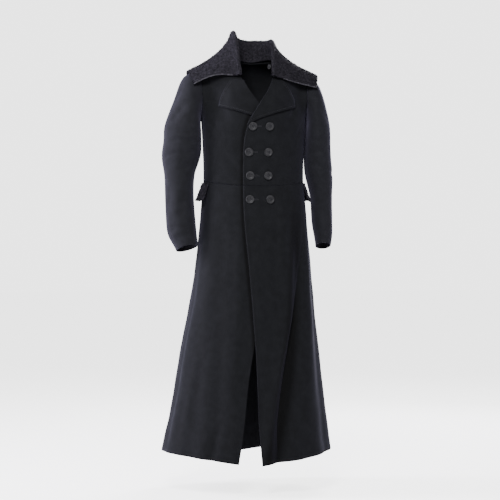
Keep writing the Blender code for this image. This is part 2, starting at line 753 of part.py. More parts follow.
def collar_section(part, side):
    """One section across the collar: up the stand on the neck's side, over the fold, down the fall."""
    rib = row_at(COLLAR_RIBS, part)
    ahead = row_at(COLLAR_RIBS, min(1.0, part + 0.02))
    behind = row_at(COLLAR_RIBS, max(0.0, part - 0.02))
    raise_peak = COLLAR_PEAK_RAISE * ease(0.1, 0.35, part) * (1 - ease(0.5, 0.95, part))
    raise_peak *= 1 if side < 0 else -1
    shift = COLLAR_FRONT_SHIFT * (1 - ease(0.2, 0.5, part)) * (1 if side < 0 else -1)
    fold = Vector((rib.fold_x + shift, rib.fold_y, rib.fold_h + raise_peak))
    edge = Vector((rib.edge_x, rib.edge_y, rib.edge_h))
    along = Vector((
        ahead.fold_x - behind.fold_x,
        ahead.fold_y - behind.fold_y,
        ahead.fold_h - behind.fold_h,
    )).normalized()
    out = edge - fold
    out.z = 0.0
    out = (out - along * out.dot(along)).normalized()
    cap = out.cross(along)
    cap = cap if cap.z - cap.y > 0 else -cap
    neck = neckline_point(part)
    to_middle = (-0.010 - neck.y) * ease(*STAND_TURN, part)
    inward = Vector((-neck.x, to_middle, 0.0)).normalized()
    base = neck + inward * (PILE_CLOTH + STAND_GAP)
    base.z += COLLAR_BASE_RAISE * ease(0.30, 0.50, part)
    points = []
    turn_in = fold - out * COLLAR_FOLD_RADIUS
    for step in STAND_STEPS:
        points.append(base.lerp(turn_in, step))
    for degrees in FOLD_DEGREES:
        angle = math.radians(degrees)
        around = out * math.cos(angle) + cap * math.sin(angle)
        point = fold + around * COLLAR_FOLD_RADIUS
        if degrees < 90:
            point = outside_of(point, PILE_CLOTH + COLLAR_STAND_OFF)
        points.append(point)
    turn_out = fold + out * COLLAR_FOLD_RADIUS
    arch = COLLAR_END_ARCH_RIGHT if side < 0 else COLLAR_END_ARCH_LEFT
    arch *= 1 - ease(0.0, 0.22, part)
    for step in FALL_STEPS:
        fall = mix(step, step ** COLLAR_FALL_POWER, ease(0.05, 0.30, part))
        point = turn_out.lerp(edge, step)
        point.z = mix(turn_out.z, edge.z, fall) + arch * math.sin(math.pi * step)
        points.append(outside_of(point, PILE_CLOTH + COLLAR_STAND_OFF))
    return points


def build_collar(pile):
    """The stand round the neck and the wide fall over the shoulders, in one folded wall."""
    left = [collar_section(part, 1) for part in COLLAR_PARTS]
    right = [collar_section(part, -1) for part in COLLAR_PARTS]
    back = collar_section(1.0, 1)
    sections = [[place(p.x, p.y, p.z) for p in section] for section in left]
    sections.append([place(p.x, p.y, p.z) for p in back])
    sections += [[place(-p.x, p.y, p.z) for p in section] for section in reversed(right)]
    inner = offset_grid(sections, -PILE_CLOTH)
    wall_between("collar", sections, inner, pile)


def offset_grid(grid, distance):
    """The grid's points moved along its own normals, which are worked out from their neighbours."""
    rows, columns = len(grid), len(grid[0])
    moved = []
    for row in range(rows):
        line = []
        for column in range(columns):
            along = grid[min(row + 1, rows - 1)][column] - grid[max(row - 1, 0)][column]
            across = grid[row][min(column + 1, columns - 1)] - grid[row][max(column - 1, 0)]
            normal = across.cross(along).normalized()
            line.append(grid[row][column] + normal * distance)
        moved.append(line)
    return moved


def lapel_surface(side):
    """A lapel's outer face: u from its roll line to its outer edge, v from its lower edge to the
    gorge, lying on the front and swelling towards the roll."""

    def flat(u, v):
        roll_height = mix(BREAK_HEIGHT, GORGE_HEIGHT, v)
        roll_x = row_at(BODICE_EDGE, roll_height).x
        outer_x = mix(LAPEL_TIP[0], LAPEL_GORGE_END[0], v)
        outer_x += LAPEL_OUTER_CURVE * math.sin(math.pi * v)
        outer_height = mix(LAPEL_TIP[1], LAPEL_GORGE_END[1], v)
        bow = LAPEL_LOWER_BOW * math.sin(math.pi * math.sqrt(max(0.0, min(1.0, u)))) * (1 - v) ** 2
        x = mix(roll_x, outer_x, u)
        height = mix(roll_height, outer_height, u) + bow
        return x, face_y(x, height, True), height

    def surface(u, v):
        return place(side * flat(u, v)[0], *flat(u, v)[1:])

    def lift(u, v):
        x, _, height = flat(u, v)
        layers = lap_lift(x, height) if side > 0 else 0.0
        clear_of_lap = 1.0 if side > 0 else ease(*LAPEL_LIFT_HEIGHTS[2:], height)
        roll = LAPEL_ROLL * (1 - u) ** 2 * ease(0.0, 0.25, v) * clear_of_lap
        return layers + CLOTH + LAPEL_GAP + roll

    return raised_surface(surface, lift)


def build_lapels(wool):
    columns = spread(7)
    rows = spread(8)
    for name, side in (("lapel_left", 1), ("lapel_right", -1)):
        wall_of(name, lapel_surface(side), columns, rows, CLOTH, wool)


def build_flaps(pile):
    """Pocket flaps that hang from the waist seam at the sides and stand off at their lower edge."""
    rows = spread(4)
    columns = spread(9)
    for name, side in (("pocket_flap_left", 1), ("pocket_flap_right", -1)):

        def surface(u, v):
            angle = mix(*FLAP_ANGLES, u)
            depth = mix(FLAP_FRONT_DEPTH, FLAP_BACK_DEPTH, u) - FLAP_CORNER * (2 * u - 1) ** 6
            height = waist_height(angle) - FLAP_TOP_DROP - depth * v
            x, y, _ = body_point(angle, height)
            stand = FLAP_CLOTH + FLAP_GAP + FLAP_FLARE * v
            out = Vector((x, y - SHOULDER_SEAM_Y, 0.0)).normalized() * stand
            return place(side * (x + out.x), y + out.y, height)

        wall_of(name, surface, columns, rows, FLAP_CLOTH, pile)


def turned_button(name, radius, point, facing, material):
    """A round button with a raised rim and a dished front, its back at the point."""
    facing = facing.normalized()
    side = facing.cross(Vector((0.0, 0.0, 1.0))).normalized()
    up = side.cross(facing)
    points, faces = [], []
    for turn in BUTTON_PROFILE:
        for i in range(BUTTON_SIDES):
            angle = 2 * math.pi * i / BUTTON_SIDES
            around = side * math.cos(angle) + up * math.sin(angle)
            points.append(point + around * radius * turn.radius + facing * radius * turn.height)
    for ring in range(len(BUTTON_PROFILE) - 1):
        for i in range(BUTTON_SIDES):
            start, after = ring * BUTTON_SIDES, (i + 1) % BUTTON_SIDES
            faces.append([
                start + i,
                start + after,
                start + after + BUTTON_SIDES,
                start + i + BUTTON_SIDES,
            ])
    last = (len(BUTTON_PROFILE) - 1) * BUTTON_SIDES
    faces.append(list(range(BUTTON_SIDES)))
    faces.append([last + i for i in range(BUTTON_SIDES)])
    mesh = bpy.data.meshes.new(name)
    mesh.from_pydata([tuple(p) for p in points], [], faces)
    finished(name, mesh, material)


def seated_on(name, point, facing, radius):
    """The point moved along facing until a round back there just clears the named piece."""
    mesh = bpy.data.objects[name].data
    corners = [vertex.co for vertex in mesh.vertices]
    tree = BVHTree.FromPolygons(corners, [tuple(face.vertices) for face in mesh.polygons])
    facing = facing.normalized()
    side = facing.cross(Vector((0.0, 0.0, 1.0))).normalized()
    up = side.cross(facing)
    highest = None
    for i in range(BUTTON_SIDES):
        angle = 2 * math.pi * i / BUTTON_SIDES
        around = side * math.cos(angle) + up * math.sin(angle)
        for reach in (0.0, 0.5, BUTTON_PROFILE[0].radius, 1.0):
            start = point + around * radius * reach + facing * SEAT_HEIGHT
            hit = tree.ray_cast(start, -facing)[0]
            if hit is not None:
                rise = (hit - point).dot(facing)
                if reach == 1.0:
                    rise -= radius * BUTTON_PROFILE[1].height
                highest = rise if highest is None else max(highest, rise)
    return point + facing * (highest + BUTTON_GAP)


def build_buttons(horn):
    """Four rows of two on the left front, and a small one inside the neck."""
    number = 0
    for row in BUTTON_ROWS:
        for x in (row.over_edge_x, row.inner_x):
            number += 1

            def front(u, v):
                px, height = x + u, row.height + v
                return place(px, face_y(px, height, True), height)

            normal = unit_normal(front, 0.0, 0.0, (0.0, 0.0, 0.0))
            panel = "bodice_front_left" if row.height > WAIST_HEIGHT else "skirt_front_left"
            point = seated_on(panel, front(0.0, 0.0), normal, BUTTON_RADIUS)
            turned_button(f"front_button_{number}", BUTTON_RADIUS, point, normal, horn)
    section = collar_section(NECK_BUTTON_PART, 1)
    base, turn_in = section[0], section[len(STAND_STEPS)]
    point = place(*base.lerp(turn_in, NECK_BUTTON_STEP))
    facing = Vector(NECK_BUTTON_FACING)
    point = seated_on("collar", point, facing, NECK_BUTTON_RADIUS)
    turned_button("neck_button", NECK_BUTTON_RADIUS, point, facing, horn)


def main():
    for piece in list(bpy.data.objects):
        bpy.data.objects.remove(piece, do_unlink=True)
    wool = principled("black wool", (0.030, 0.031, 0.036), 0.90, 0.35)
    pile = principled("black curly pile", (0.026, 0.026, 0.031), 0.95, 0.45)
    horn = principled("dark grey horn", (0.075, 0.075, 0.080), 0.45, 0.0)
    build_bodice(wool)
    build_skirt(wool)
    build_sleeves(wool)
    build_collar(pile)
    build_lapels(wool)
    build_flaps(pile)
    build_buttons(horn)


main()
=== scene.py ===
"""Looks of a full-length double-breasted greatcoat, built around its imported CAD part.

Metres in the part's own frame: +Z up, front towards -Y, the coat's left towards +X, and the origin
between the shoulders. Every cloth shell is grown from its own CAD solid.
"""
import math
import random
from collections import namedtuple
from itertools import product

import bmesh
import bpy
import numpy as np
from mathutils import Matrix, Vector
from mathutils.bvhtree import BVHTree


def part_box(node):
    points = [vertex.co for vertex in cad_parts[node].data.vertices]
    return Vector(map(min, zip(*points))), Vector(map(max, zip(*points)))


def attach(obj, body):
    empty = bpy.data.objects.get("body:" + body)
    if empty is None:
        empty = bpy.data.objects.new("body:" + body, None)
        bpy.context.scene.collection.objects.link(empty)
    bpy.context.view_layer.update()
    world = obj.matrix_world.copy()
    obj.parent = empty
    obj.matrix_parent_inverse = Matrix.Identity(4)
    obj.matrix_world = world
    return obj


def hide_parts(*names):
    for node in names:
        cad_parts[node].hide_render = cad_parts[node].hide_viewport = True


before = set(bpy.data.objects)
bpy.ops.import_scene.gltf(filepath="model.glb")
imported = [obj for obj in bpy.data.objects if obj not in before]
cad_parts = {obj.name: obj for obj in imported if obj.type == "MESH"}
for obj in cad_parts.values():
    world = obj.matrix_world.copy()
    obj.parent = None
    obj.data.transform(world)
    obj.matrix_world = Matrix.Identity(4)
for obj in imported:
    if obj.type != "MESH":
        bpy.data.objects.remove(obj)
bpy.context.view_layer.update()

# Heights read from the frame
HEM_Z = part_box("skirt_front_left")[0].z
WAIST_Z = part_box("bodice_front_left")[0].z
WAIST_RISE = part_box("skirt_back")[1].z - WAIST_Z
HEM_LEAN = (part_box("skirt_back")[0].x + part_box("skirt_back")[1].x) / 2

# Middle of the body, and the radii that turn the creases' angles into lengths
AXIS_Y = 0.010
BODY_REACH = 0.20
SLEEVE_REACH = 0.055

# Cloth shells: lengths and heights in metres, ARM_SIDE and SLEEVE_INNER_SIDE in degrees
COLLAR_LEAN = 0.12
SHARP_ANGLE = math.radians(58)
SHEET_ANGLE = math.radians(68)
SMOOTH_ANGLE = math.radians(62)
JOIN_FLATNESS = math.radians(30)
JOIN_SKEW = math.radians(60)
SHELL_LEVELS = 3
RIM_CREASE = 1.0
RIM_LENGTH = 0.004
OUTER_FACING = 0.35
WELD = 1e-6
TINY = 1e-6
CREASE_SHOULDER = 0.30
SHOULDER_OFF = 1.9
CREASE_GROWN = 0.30
CREASE_FADES = 0.62
ARM_SIDE = 26
ARM_DROP = 0.12
WAIST_SEAM_DEPTH = 0.0010
WAIST_SEAM_WIDTH = 0.005
# Painted shade: HOLLOW_SHADE is how far the colour is darkened in the fronts' main fold, EDGE_SHADOW
# the offset and width of the painted shadow band beside the lap's edge
HOLLOW_SHADE = 0.90
EDGE_SHADOW = (0.0030, 0.0060)
LAP_LEVELS = 30
SEAM_LEVELS = 24
SEAM_PULL = 0.0007
SEAM_REACH = 0.030
SEAM_OPENS = (-0.600, -1.000)
BODY_FADE = (-0.060, -0.110)
SLEEVE_LEVELS = 26
SLEEVE_SLICE = 0.045
SLEEVE_INNER_SIDE = 42
SLEEVE_MOST_RISE = 0.0020
SLEEVE_FADE = 0.7

# Unevenness of worn wool: waves along a direction, with their height and starting point
Wave = namedtuple("Wave", "x y z height start")
WAVES = (
    Wave(31, 12, 17, 0.00042, 0.4),
    Wave(-14, 37, 23, 0.00036, 2.1),
    Wave(22, -29, 41, 0.00030, 4.4),
    Wave(-47, -18, 9, 0.00028, 1.2),
    Wave(53, 34, -38, 0.00020, 5.3),
    Wave(-26, 58, -61, 0.00018, 3.7),
    Wave(71, -44, 27, 0.00013, 0.9),
)

# Creases: from an angle and a height to an angle and a height, width, depth (troughs are negative),
# how far its middle bows aside, and whether it runs on past its lower end
Crease = namedtuple("Crease", "angle_0 z_0 angle_1 z_1 width depth bow runs_on")
BODY_CREASES = (
    Crease(-62, -0.115, -34, -0.215, 0.013, -0.0024, 0.006, 0),
    Crease(-70, -0.170, -44, -0.262, 0.011, -0.0020, -0.005, 0),
    Crease(60, -0.110, 37, -0.200, 0.012, -0.0022, -0.006, 0),
    Crease(71, -0.175, 47, -0.270, 0.010, -0.0018, 0.004, 0),
    Crease(-52, -0.300, -26, -0.372, 0.012, -0.0016, -0.004, 0),
    Crease(-66, -0.352, -30, -0.398, 0.009, -0.0017, 0.003, 0),
    Crease(56, -0.305, 32, -0.362, 0.011, -0.0015, 0.004, 0),
    Crease(68, -0.348, 34, -0.394, 0.009, -0.0017, -0.003, 0),
    Crease(24, -0.228, 46, -0.262, 0.010, -0.0010, 0.002, 0),
    Crease(-20, -0.250, -33, -0.330, 0.016, -0.0012, 0.004, 0),
    Crease(118, -0.120, 146, -0.230, 0.014, -0.0040, -0.007, 0),
    Crease(-116, -0.125, -142, -0.240, 0.013, -0.0037, 0.007, 0),
    Crease(128, -0.215, 156, -0.300, 0.012, -0.0030, 0.004, 0),
    Crease(-130, -0.205, -158, -0.285, 0.012, -0.0032, -0.004, 0),
    Crease(180, -0.120, 179, -0.330, 0.030, -0.0042, 0.003, 0),
    Crease(122, -0.340, 160, -0.388, 0.010, -0.0030, 0.004, 0),
    Crease(-124, -0.335, -166, -0.392, 0.010, -0.0028, -0.004, 0),
    Crease(-34, -0.445, -26, -1.000, 0.020, -0.0018, 0.006, 0),
    Crease(-47, -0.430, -38, -1.300, 0.026, -0.0036, -0.008, 1),
    Crease(-58, -0.450, -60, -1.300, 0.024, 0.0022, 0.006, 1),
    Crease(-15, -0.500, -12, -1.120, 0.019, -0.0014, -0.004, 0),
    Crease(-22, -0.900, -20, -1.320, 0.024, 0.0017, 0.005, 1),
    Crease(12, -0.470, 10, -0.980, 0.018, -0.0015, 0.004, 0),
    Crease(22, -0.445, 17, -0.900, 0.018, -0.0019, -0.005, 0),
    Crease(45, -0.500, 4, -1.330, 0.022, 0.0030, -0.018, 1),
    Crease(58, -0.460, 20, -1.330, 0.032, -0.0090, -0.018, 1),
    Crease(36, -0.440, 24, -0.820, 0.017, 0.0019, 0.004, 0),
    Crease(48, -0.430, 44, -1.300, 0.022, -0.0018, 0.006, 1),
    Crease(74, -0.470, 71, -1.300, 0.024, -0.0036, -0.005, 1),
    Crease(-80, -0.500, -83, -1.300, 0.024, -0.0034, 0.004, 1),
    Crease(108, -0.440, 118, -1.300, 0.024, -0.0056, 0.010, 1),
    Crease(-104, -0.450, -112, -1.300, 0.026, -0.0060, -0.010, 1),
    Crease(142, -0.430, 150, -1.300, 0.026, -0.0064, 0.008, 1),
    Crease(-140, -0.440, -152, -1.300, 0.024, -0.0058, -0.009, 1),
    Crease(166, -0.430, 174, -1.240, 0.020, -0.0046, -0.004, 0),
    Crease(-168, -0.430, -176, -1.180, 0.020, -0.0040, 0.006, 0),
    Crease(-36, -1.200, -40, -1.330, 0.012, -0.0030, 0.000, 1),
    Crease(33, -1.180, 36, -1.330, 0.016, 0.0022, 0.000, 1),
)
# Painted shade, where the colour is darkened in the fronts' main fold: the same kind of band, its
# depth a share
PAINTED_SHADE_BANDS = (
    Crease(54, -0.400, 14, -1.330, 0.032, -1.4, -0.018, 1),
)
# Angles round a sleeve run from its front (0) over its outer side (90) to its back (180)
SLEEVE_RIGHT_CREASES = (
    Crease(20, -0.060, 72, -0.140, 0.012, -0.0022, 0.004, 0),
    Crease(-10, -0.120, 46, -0.205, 0.010, -0.0024, -0.004, 0),
    Crease(-48, -0.235, 42, -0.212, 0.008, -0.0030, 0.003, 0),
    Crease(-52, -0.262, 60, -0.256, 0.007, -0.0034, -0.003, 0),
    Crease(-44, -0.290, 34, -0.302, 0.008, -0.0030, 0.003, 0),
    Crease(10, -0.296, 84, -0.318, 0.007, -0.0024, -0.002, 0),
    Crease(-40, -0.330, 24, -0.356, 0.009, -0.0022, 0.003, 0),
    Crease(110, -0.190, 150, -0.330, 0.012, -0.0020, 0.004, 0),
    Crease(130, -0.250, 176, -0.262, 0.009, -0.0022, 0.002, 0),
    Crease(36, -0.390, 66, -0.520, 0.013, -0.0018, 0.004, 0),
    Crease(-20, -0.420, 12, -0.530, 0.011, -0.0017, -0.004, 0),
    Crease(20, -0.552, 96, -0.566, 0.009, -0.0028, 0.002, 0),
    Crease(-30, -0.575, 50, -0.590, 0.008, -0.0016, -0.002, 0),
    Crease(140, -0.400, 158, -0.540, 0.013, -0.0018, 0.003, 0),
)
SLEEVE_LEFT_CREASES = (
    Crease(16, -0.062, 68, -0.136, 0.012, -0.0022, -0.004, 0),
    Crease(-14, -0.118, 40, -0.196, 0.010, -0.0022, 0.004, 0),
    Crease(-46, -0.256, 36, -0.240, 0.008, -0.0026, 0.003, 0),
    Crease(-50, -0.296, 52, -0.286, 0.008, -0.0030, -0.003, 0),
    Crease(-40, -0.330, 30, -0.346, 0.008, -0.0024, 0.003, 0),
    Crease(24, -0.356, 92, -0.372, 0.009, -0.0018, -0.002, 0),
    Crease(-30, -0.378, 18, -0.402, 0.009, -0.0018, 0.002, 0),
    Crease(112, -0.180, 148, -0.310, 0.012, -0.0020, -0.004, 0),
    Crease(128, -0.290, 174, -0.300, 0.009, -0.0022, 0.002, 0),
    Crease(48, -0.420, 60, -0.560, 0.012, -0.0018, 0.003, 0),
    Crease(-16, -0.440, 6, -0.560, 0.010, -0.0016, -0.003, 0),
    Crease(-24, -0.586, 56, -0.596, 0.008, -0.0018, 0.002, 0),
    Crease(142, -0.410, 160, -0.550, 0.012, -0.0018, 0.003, 0),
)

# Pile of the collar and flaps: lengths in metres, turns in radians, the rest as shares
PILE_SINK = 0.0014
PILE_BUMP = 0.0018
LUMP_SCALE = 1050
# For each axis in turn: its pace, how far the next axis bends the wave, and that axis's pace
LUMP_WAVES = ((1.0, 1.7, 0.7), (1.1, 1.3, 0.8), (0.9, 1.9, 0.6))
CURL_SPACING = 0.0041
CURL_RADIUS = (0.0015, 0.0028)
CURL_TURN = (3.4, 5.6)
CURL_THICK = 0.00115
CURL_TAPER = 0.45
CURL_FULL = 0.15
CURL_CLOSING = 0.45
CURL_RISE = 0.0022
CURL_ARCH = (0.12, 0.80)
CURL_TIP = (0.5, 1.0)
CURL_STEPS = 5
CURL_SIDES = 3
CURL_TRIES = 7

# Sewing: lengths in metres, lifts as shares of a tube's radius
LINE_DENSITY = 4
LINE_ROUNDS = 12
GORGE_X = 0.087
STITCH_LENGTH = 0.0042
STITCH_GAP = 0.0024
STITCH_INSET = 0.0065
STITCH_RADIUS = 0.00045
STITCH_SIDES = 5
STITCH_LIFT = 0.8
STITCH_DIP = 0.0004
STITCH_PROBE = 0.002
LAPEL_TIP = (0.126, -0.147)
LAPEL_FOOT_X = 0.044
FRONT_STITCH_TOP_Z = -0.215
FRONT_STITCH_FOOT_X = -0.005
PIPING_RADIUS = 0.0026
PIPING_SIDES = 8
PIPING_STEP = 0.004
PIPING_END = 0.084
PIPING_GORGE_Z = -0.060
COLLAR_TIP_Y = -0.074
COLLAR_TIP_Z = -0.075
BUTTONHOLE_LENGTH = 0.031
BUTTONHOLE_WIDTH = 0.0030
BUTTONHOLE_SHIFT = 0.013
BUTTONHOLE_STEPS = 40
BUTTONHOLE_STRAIGHT = 0.15
THREAD_RADIUS = 0.00065
THREAD_SIDES = 6
TUBE_LIFT = 0.3

# Camera, as the photograph was taken
CAMERA_TURN = math.radians(-9)
CAMERA_FAR = 6.30
CAMERA_Z = -0.625
CAMERA_SHIFT = -0.0119
CAMERA_LENS = 133.4
CAMERA_SENSOR = 36.0

# Stage
WHITE = (1.0, 1.0, 1.0)
COOL = (0.90, 0.87, 1.0)
FLOOR_COLOR = (0.86, 0.86, 0.86)
FLOOR_ROUGHNESS = 0.9
FLOOR_HALF = 30.0
FLOOR_DROP = 0.10
FLOOR_GLOW = 2.9
AIR_LIGHT = 0.26
AIR_SEEN = 3.2
COAT_MIDDLE = (0.0, 0.0, -0.55)
LEFT_SHOULDER = (0.25, 0.0, -0.25)
Lamp = namedtuple("Lamp", "name place aim size power color")
LAMPS = (
    Lamp("key", (-1.1, -3.6, 2.3), COAT_MIDDLE, (1.2, 1.2), 290, WHITE),
    Lamp("back", (1.6, 3.3, 2.0), COAT_MIDDLE, (1.2, 1.2), 170, WHITE),
    Lamp("edge_left", (-2.7, 0.4, 0.5), COAT_MIDDLE, (0.9, 2.4), 190, COOL),
    Lamp("edge_right", (1.8, 2.7, 0.5), LEFT_SHOULDER, (0.5, 1.0), 70, COOL),
)

# Materials: the shader's own values, the two shades of the unevenness, and the bumps
SPECULAR = 0.14
EDGE_SPECULAR = 0.04
PILE_SPECULAR = 0.08
SHEEN_ROUGHNESS = 0.45
MOTTLE_ENDS = (0.32, 0.70)
BUMP_DETAIL = 4.0
Finish = namedtuple("Finish", "name color roughness sheen tint")
FINISHES = {
    "wool": Finish("wool_face", (0.0060, 0.0065, 0.0080), 0.90, 0.08, (0.44, 0.42, 0.66)),
    # The sleeves' wool is the body's wool painted lighter: painted light for the side light that the
    # sleeves catch
    "sleeve": Finish("wool_sleeve_painted_light", (0.0090, 0.0095, 0.0115), 0.90, 0.16, (0.46, 0.43, 0.66)),
    "inside": Finish("wool_back", (0.005, 0.005, 0.007), 0.92, 0.04, (0.5, 0.5, 0.6)),
    # Near black, darker than the wool itself: painted shadow on the rims of the fronts that lap
    # over, a dark line along the lap's edge
    "edge": Finish("wool_edge_painted_shadow", (0.0012, 0.0012, 0.0016), 0.95, 0.0, WHITE),
    # The pile's colour is partly its own tone and partly painted highlight: made lighter for the
    # glints of its glossy curls, whose specular is kept low
    "pile": Finish("curly_pile_painted_glints", (0.009, 0.008, 0.011), 0.92, 0.09, (0.55, 0.50, 0.68)),
    "horn": Finish("grey_horn", (0.040, 0.040, 0.044), 0.42, 0.0, WHITE),
    "thread": Finish("thread", (0.020, 0.020, 0.024), 0.70, 0.10, (0.6, 0.6, 0.7)),
    # The rolled edge is painted much lighter than the wool: a painted highlight along the roll
    "highlit_piping": Finish("rolled_edge", (0.055, 0.052, 0.062), 0.70, 0.25, (0.7, 0.68, 0.8)),
}
Mottle = namedtuple("Mottle", "dark light scale detail")
MOTTLES = {
    "wool": Mottle((0.0044, 0.0047, 0.0057), (0.0066, 0.0070, 0.0085), 42.0, 7.0),
    # Lighter shades of the same wool: painted light on the sleeves
    "sleeve": Mottle((0.0076, 0.0078, 0.0096), (0.0108, 0.0110, 0.0138), 42.0, 7.0),
    # Random mottle of the pile, its light end partly painted glints of the curls
    "pile": Mottle((0.0055, 0.0052, 0.0068), (0.0240, 0.0222, 0.0282), 150.0, 3.0),
    "horn": Mottle((0.017, 0.017, 0.019), (0.034, 0.034, 0.037), 90.0, 5.0),
}
Bump = namedtuple("Bump", "scale strength distance")
WOOL_BUMPS = (Bump(900.0, 0.35, 0.0006), Bump(160.0, 0.20, 0.0012), Bump(14.0, 0.25, 0.0040))
BUMPS = {
    "wool": WOOL_BUMPS,
    "sleeve": WOOL_BUMPS,
    "inside": (Bump(700.0, 0.35, 0.0006),),
    "highlit_piping": (Bump(600.0, 0.5, 0.0006),),
}


def ease(low, high, value):
    """0 below low, 1 above high, and a smooth rise between, for numbers and arrays alike."""
    part = np.clip((value - low) / (high - low), 0.0, 1.0)
    return part * part * (3 - 2 * part)


# Materials

def new_material(name, color, roughness, sheen, sheen_tint):
    """A material with even values on its shader's own sockets."""
    material = bpy.data.materials.new(name)
    material.use_nodes = True
    shader = material.node_tree.nodes["Principled BSDF"]
    shader.inputs["Base Color"].default_value = (*color, 1.0)
    shader.inputs["Roughness"].default_value = roughness
    shader.inputs["Specular IOR Level"].default_value = SPECULAR
    shader.inputs["Sheen Weight"].default_value = sheen
    shader.inputs["Sheen Roughness"].default_value = SHEEN_ROUGHNESS
    shader.inputs["Sheen Tint"].default_value = (*sheen_tint, 1.0)
    return material


def mottle(material, shades):
    """Gives the colour a soft unevenness between two shades."""
    tree = material.node_tree
    shader = tree.nodes["Principled BSDF"]
    where = tree.nodes.new("ShaderNodeTexCoord")
    noise = tree.nodes.new("ShaderNodeTexNoise")
    ramp = tree.nodes.new("ShaderNodeValToRGB")
    noise.inputs["Scale"].default_value = shades.scale
    noise.inputs["Detail"].default_value = shades.detail
    for i, shade in enumerate((shades.dark, shades.light)):
        ramp.color_ramp.elements[i].position = MOTTLE_ENDS[i]
        ramp.color_ramp.elements[i].color = (*shade, 1.0)
    tree.links.new(where.outputs["Object"], noise.inputs["Vector"])
    tree.links.new(noise.outputs["Fac"], ramp.inputs["Fac"])
    tree.links.new(ramp.outputs["Color"], shader.inputs["Base Color"])


def paint_shade_in_hollows(material):
    """Paints shade into the colour: scales it down where the shell's own values say that it lies in
    a hollow.
    """
    tree = material.node_tree
    color = tree.nodes["Principled BSDF"].inputs["Base Color"]
    even = color.links[0].from_socket
    hollow = tree.nodes.new("ShaderNodeAttribute")
    hollow.attribute_name = "hollow"
    shade = tree.nodes.new("ShaderNodeMath")
    shade.operation = "MULTIPLY_ADD"
    shade.inputs[1].default_value = -HOLLOW_SHADE
    shade.inputs[2].default_value = 1.0
    deep = tree.nodes.new("ShaderNodeVectorMath")
    deep.operation = "SCALE"
    tree.links.new(hollow.outputs["Fac"], shade.inputs[0])
    tree.links.new(even, deep.inputs["Vector"])
    tree.links.new(shade.outputs["Value"], deep.inputs["Scale"])
    tree.links.new(deep.outputs["Vector"], color)


def bumps(material, layers):
    """Adds bump layers, one over the other."""
    tree = material.node_tree
    shader = tree.nodes["Principled BSDF"]
    where = tree.nodes.new("ShaderNodeTexCoord")
    below = None
    for layer in layers:
        noise = tree.nodes.new("ShaderNodeTexNoise")
        noise.inputs["Scale"].default_value = layer.scale
        noise.inputs["Detail"].default_value = BUMP_DETAIL
        bump = tree.nodes.new("ShaderNodeBump")
        bump.inputs["Strength"].default_value = layer.strength
        bump.inputs["Distance"].default_value = layer.distance
        tree.links.new(where.outputs["Object"], noise.inputs["Vector"])
        tree.links.new(noise.outputs["Fac"], bump.inputs["Height"])
        if below is not None:
            tree.links.new(below.outputs["Normal"], bump.inputs["Normal"])
        below = bump
    tree.links.new(below.outputs["Normal"], shader.inputs["Normal"])


def make_materials():
    materials = {}
    for key, finish in FINISHES.items():
        material = new_material(*finish)
        if key in MOTTLES:
            mottle(material, MOTTLES[key])
        if key in BUMPS:
            bumps(material, BUMPS[key])
        materials[key] = material
    # Painted shade in the fronts' main fold and beside the lap's edge
    paint_shade_in_hollows(materials["wool"])
    for key, specular in (("edge", EDGE_SPECULAR), ("pile", PILE_SPECULAR)):
        shader = materials[key].node_tree.nodes["Principled BSDF"]
        shader.inputs["Specular IOR Level"].default_value = specular
    return materials


def linked(name, data):
    """A new object of the scene with this mesh, light or camera."""
    piece = bpy.data.objects.new(name, data)
    bpy.context.scene.collection.objects.link(piece)
    return piece


# Shells grown from the CAD solids

def welded(node):
    """The node's mesh with its points joined again and its triangles paired back into quads."""
    shape = bmesh.new()
    shape.from_mesh(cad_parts[node].data)
    bmesh.ops.remove_doubles(shape, verts=shape.verts, dist=WELD)
    bmesh.ops.join_triangles(
        shape,
        faces=shape.faces,
        angle_face_threshold=JOIN_FLATNESS,
        angle_shape_threshold=JOIN_SKEW,
    )
    return shape


def from_axis(point):
    """Direction out of the body, taken from its middle."""
    return Vector((point.x, point.y - AXIS_Y, 0.0))


def forward(_):
    """Direction out of the lapels, the same everywhere."""
    return Vector((0.0, -1.0, 0.0))


def collar_up(point):
    """Direction out of the collar's pile: up on its wings and towards the fold on its stand."""
    return Vector((point.x, point.y, COLLAR_LEAN))


def face_groups(shape):
    """The faces in groups that no sharp edge parts, the group with the largest area first."""
    left = set(shape.faces)
    groups = []
    while left:
        waiting, group = [left.pop()], []
        while waiting:
            face = waiting.pop()
            group.append(face)
            for edge in face.edges:
                if edge.calc_face_angle(0.0) < SHEET_ANGLE:
                    near = [other for other in edge.link_faces if other in left]
                    left.difference_update(near)
                    waiting += near
        groups.append(group)
    return sorted(groups, key=lambda group: -sum(face.calc_area() for face in group))


def outer_group(shape, outward):
    """The outer and the inner side of a wall, for a direction that points out of the hollow."""
    def facing(group):
        return sum(f.normal.dot(outward(f.calc_center_median())) * f.calc_area() for f in group)

    sides = sorted(face_groups(shape)[:2], key=facing)
    return sides[1], sides[0]


def mark_inner(shape, outward):
    """Marks a wall's inner side with material 1."""
    for face in outer_group(shape, outward)[1]:
        face.material_index = 1


def mark_body(shape):
    mark_inner(shape, from_axis)


def mark_lap(shape):
    """Marks the inner side, and the edges with material 2, whose near black is painted shadow, so
    the lap's edge is a dark line.
    """
    outer, inner = outer_group(shape, from_axis)
    for face in shape.faces:
        face.material_index = 2
    for side, faces in enumerate((outer, inner)):
        for face in faces:
            face.material_index = side


def mark_lapel(shape):
    mark_inner(shape, forward)


def mark_collar(shape):
    mark_inner(shape, collar_up)


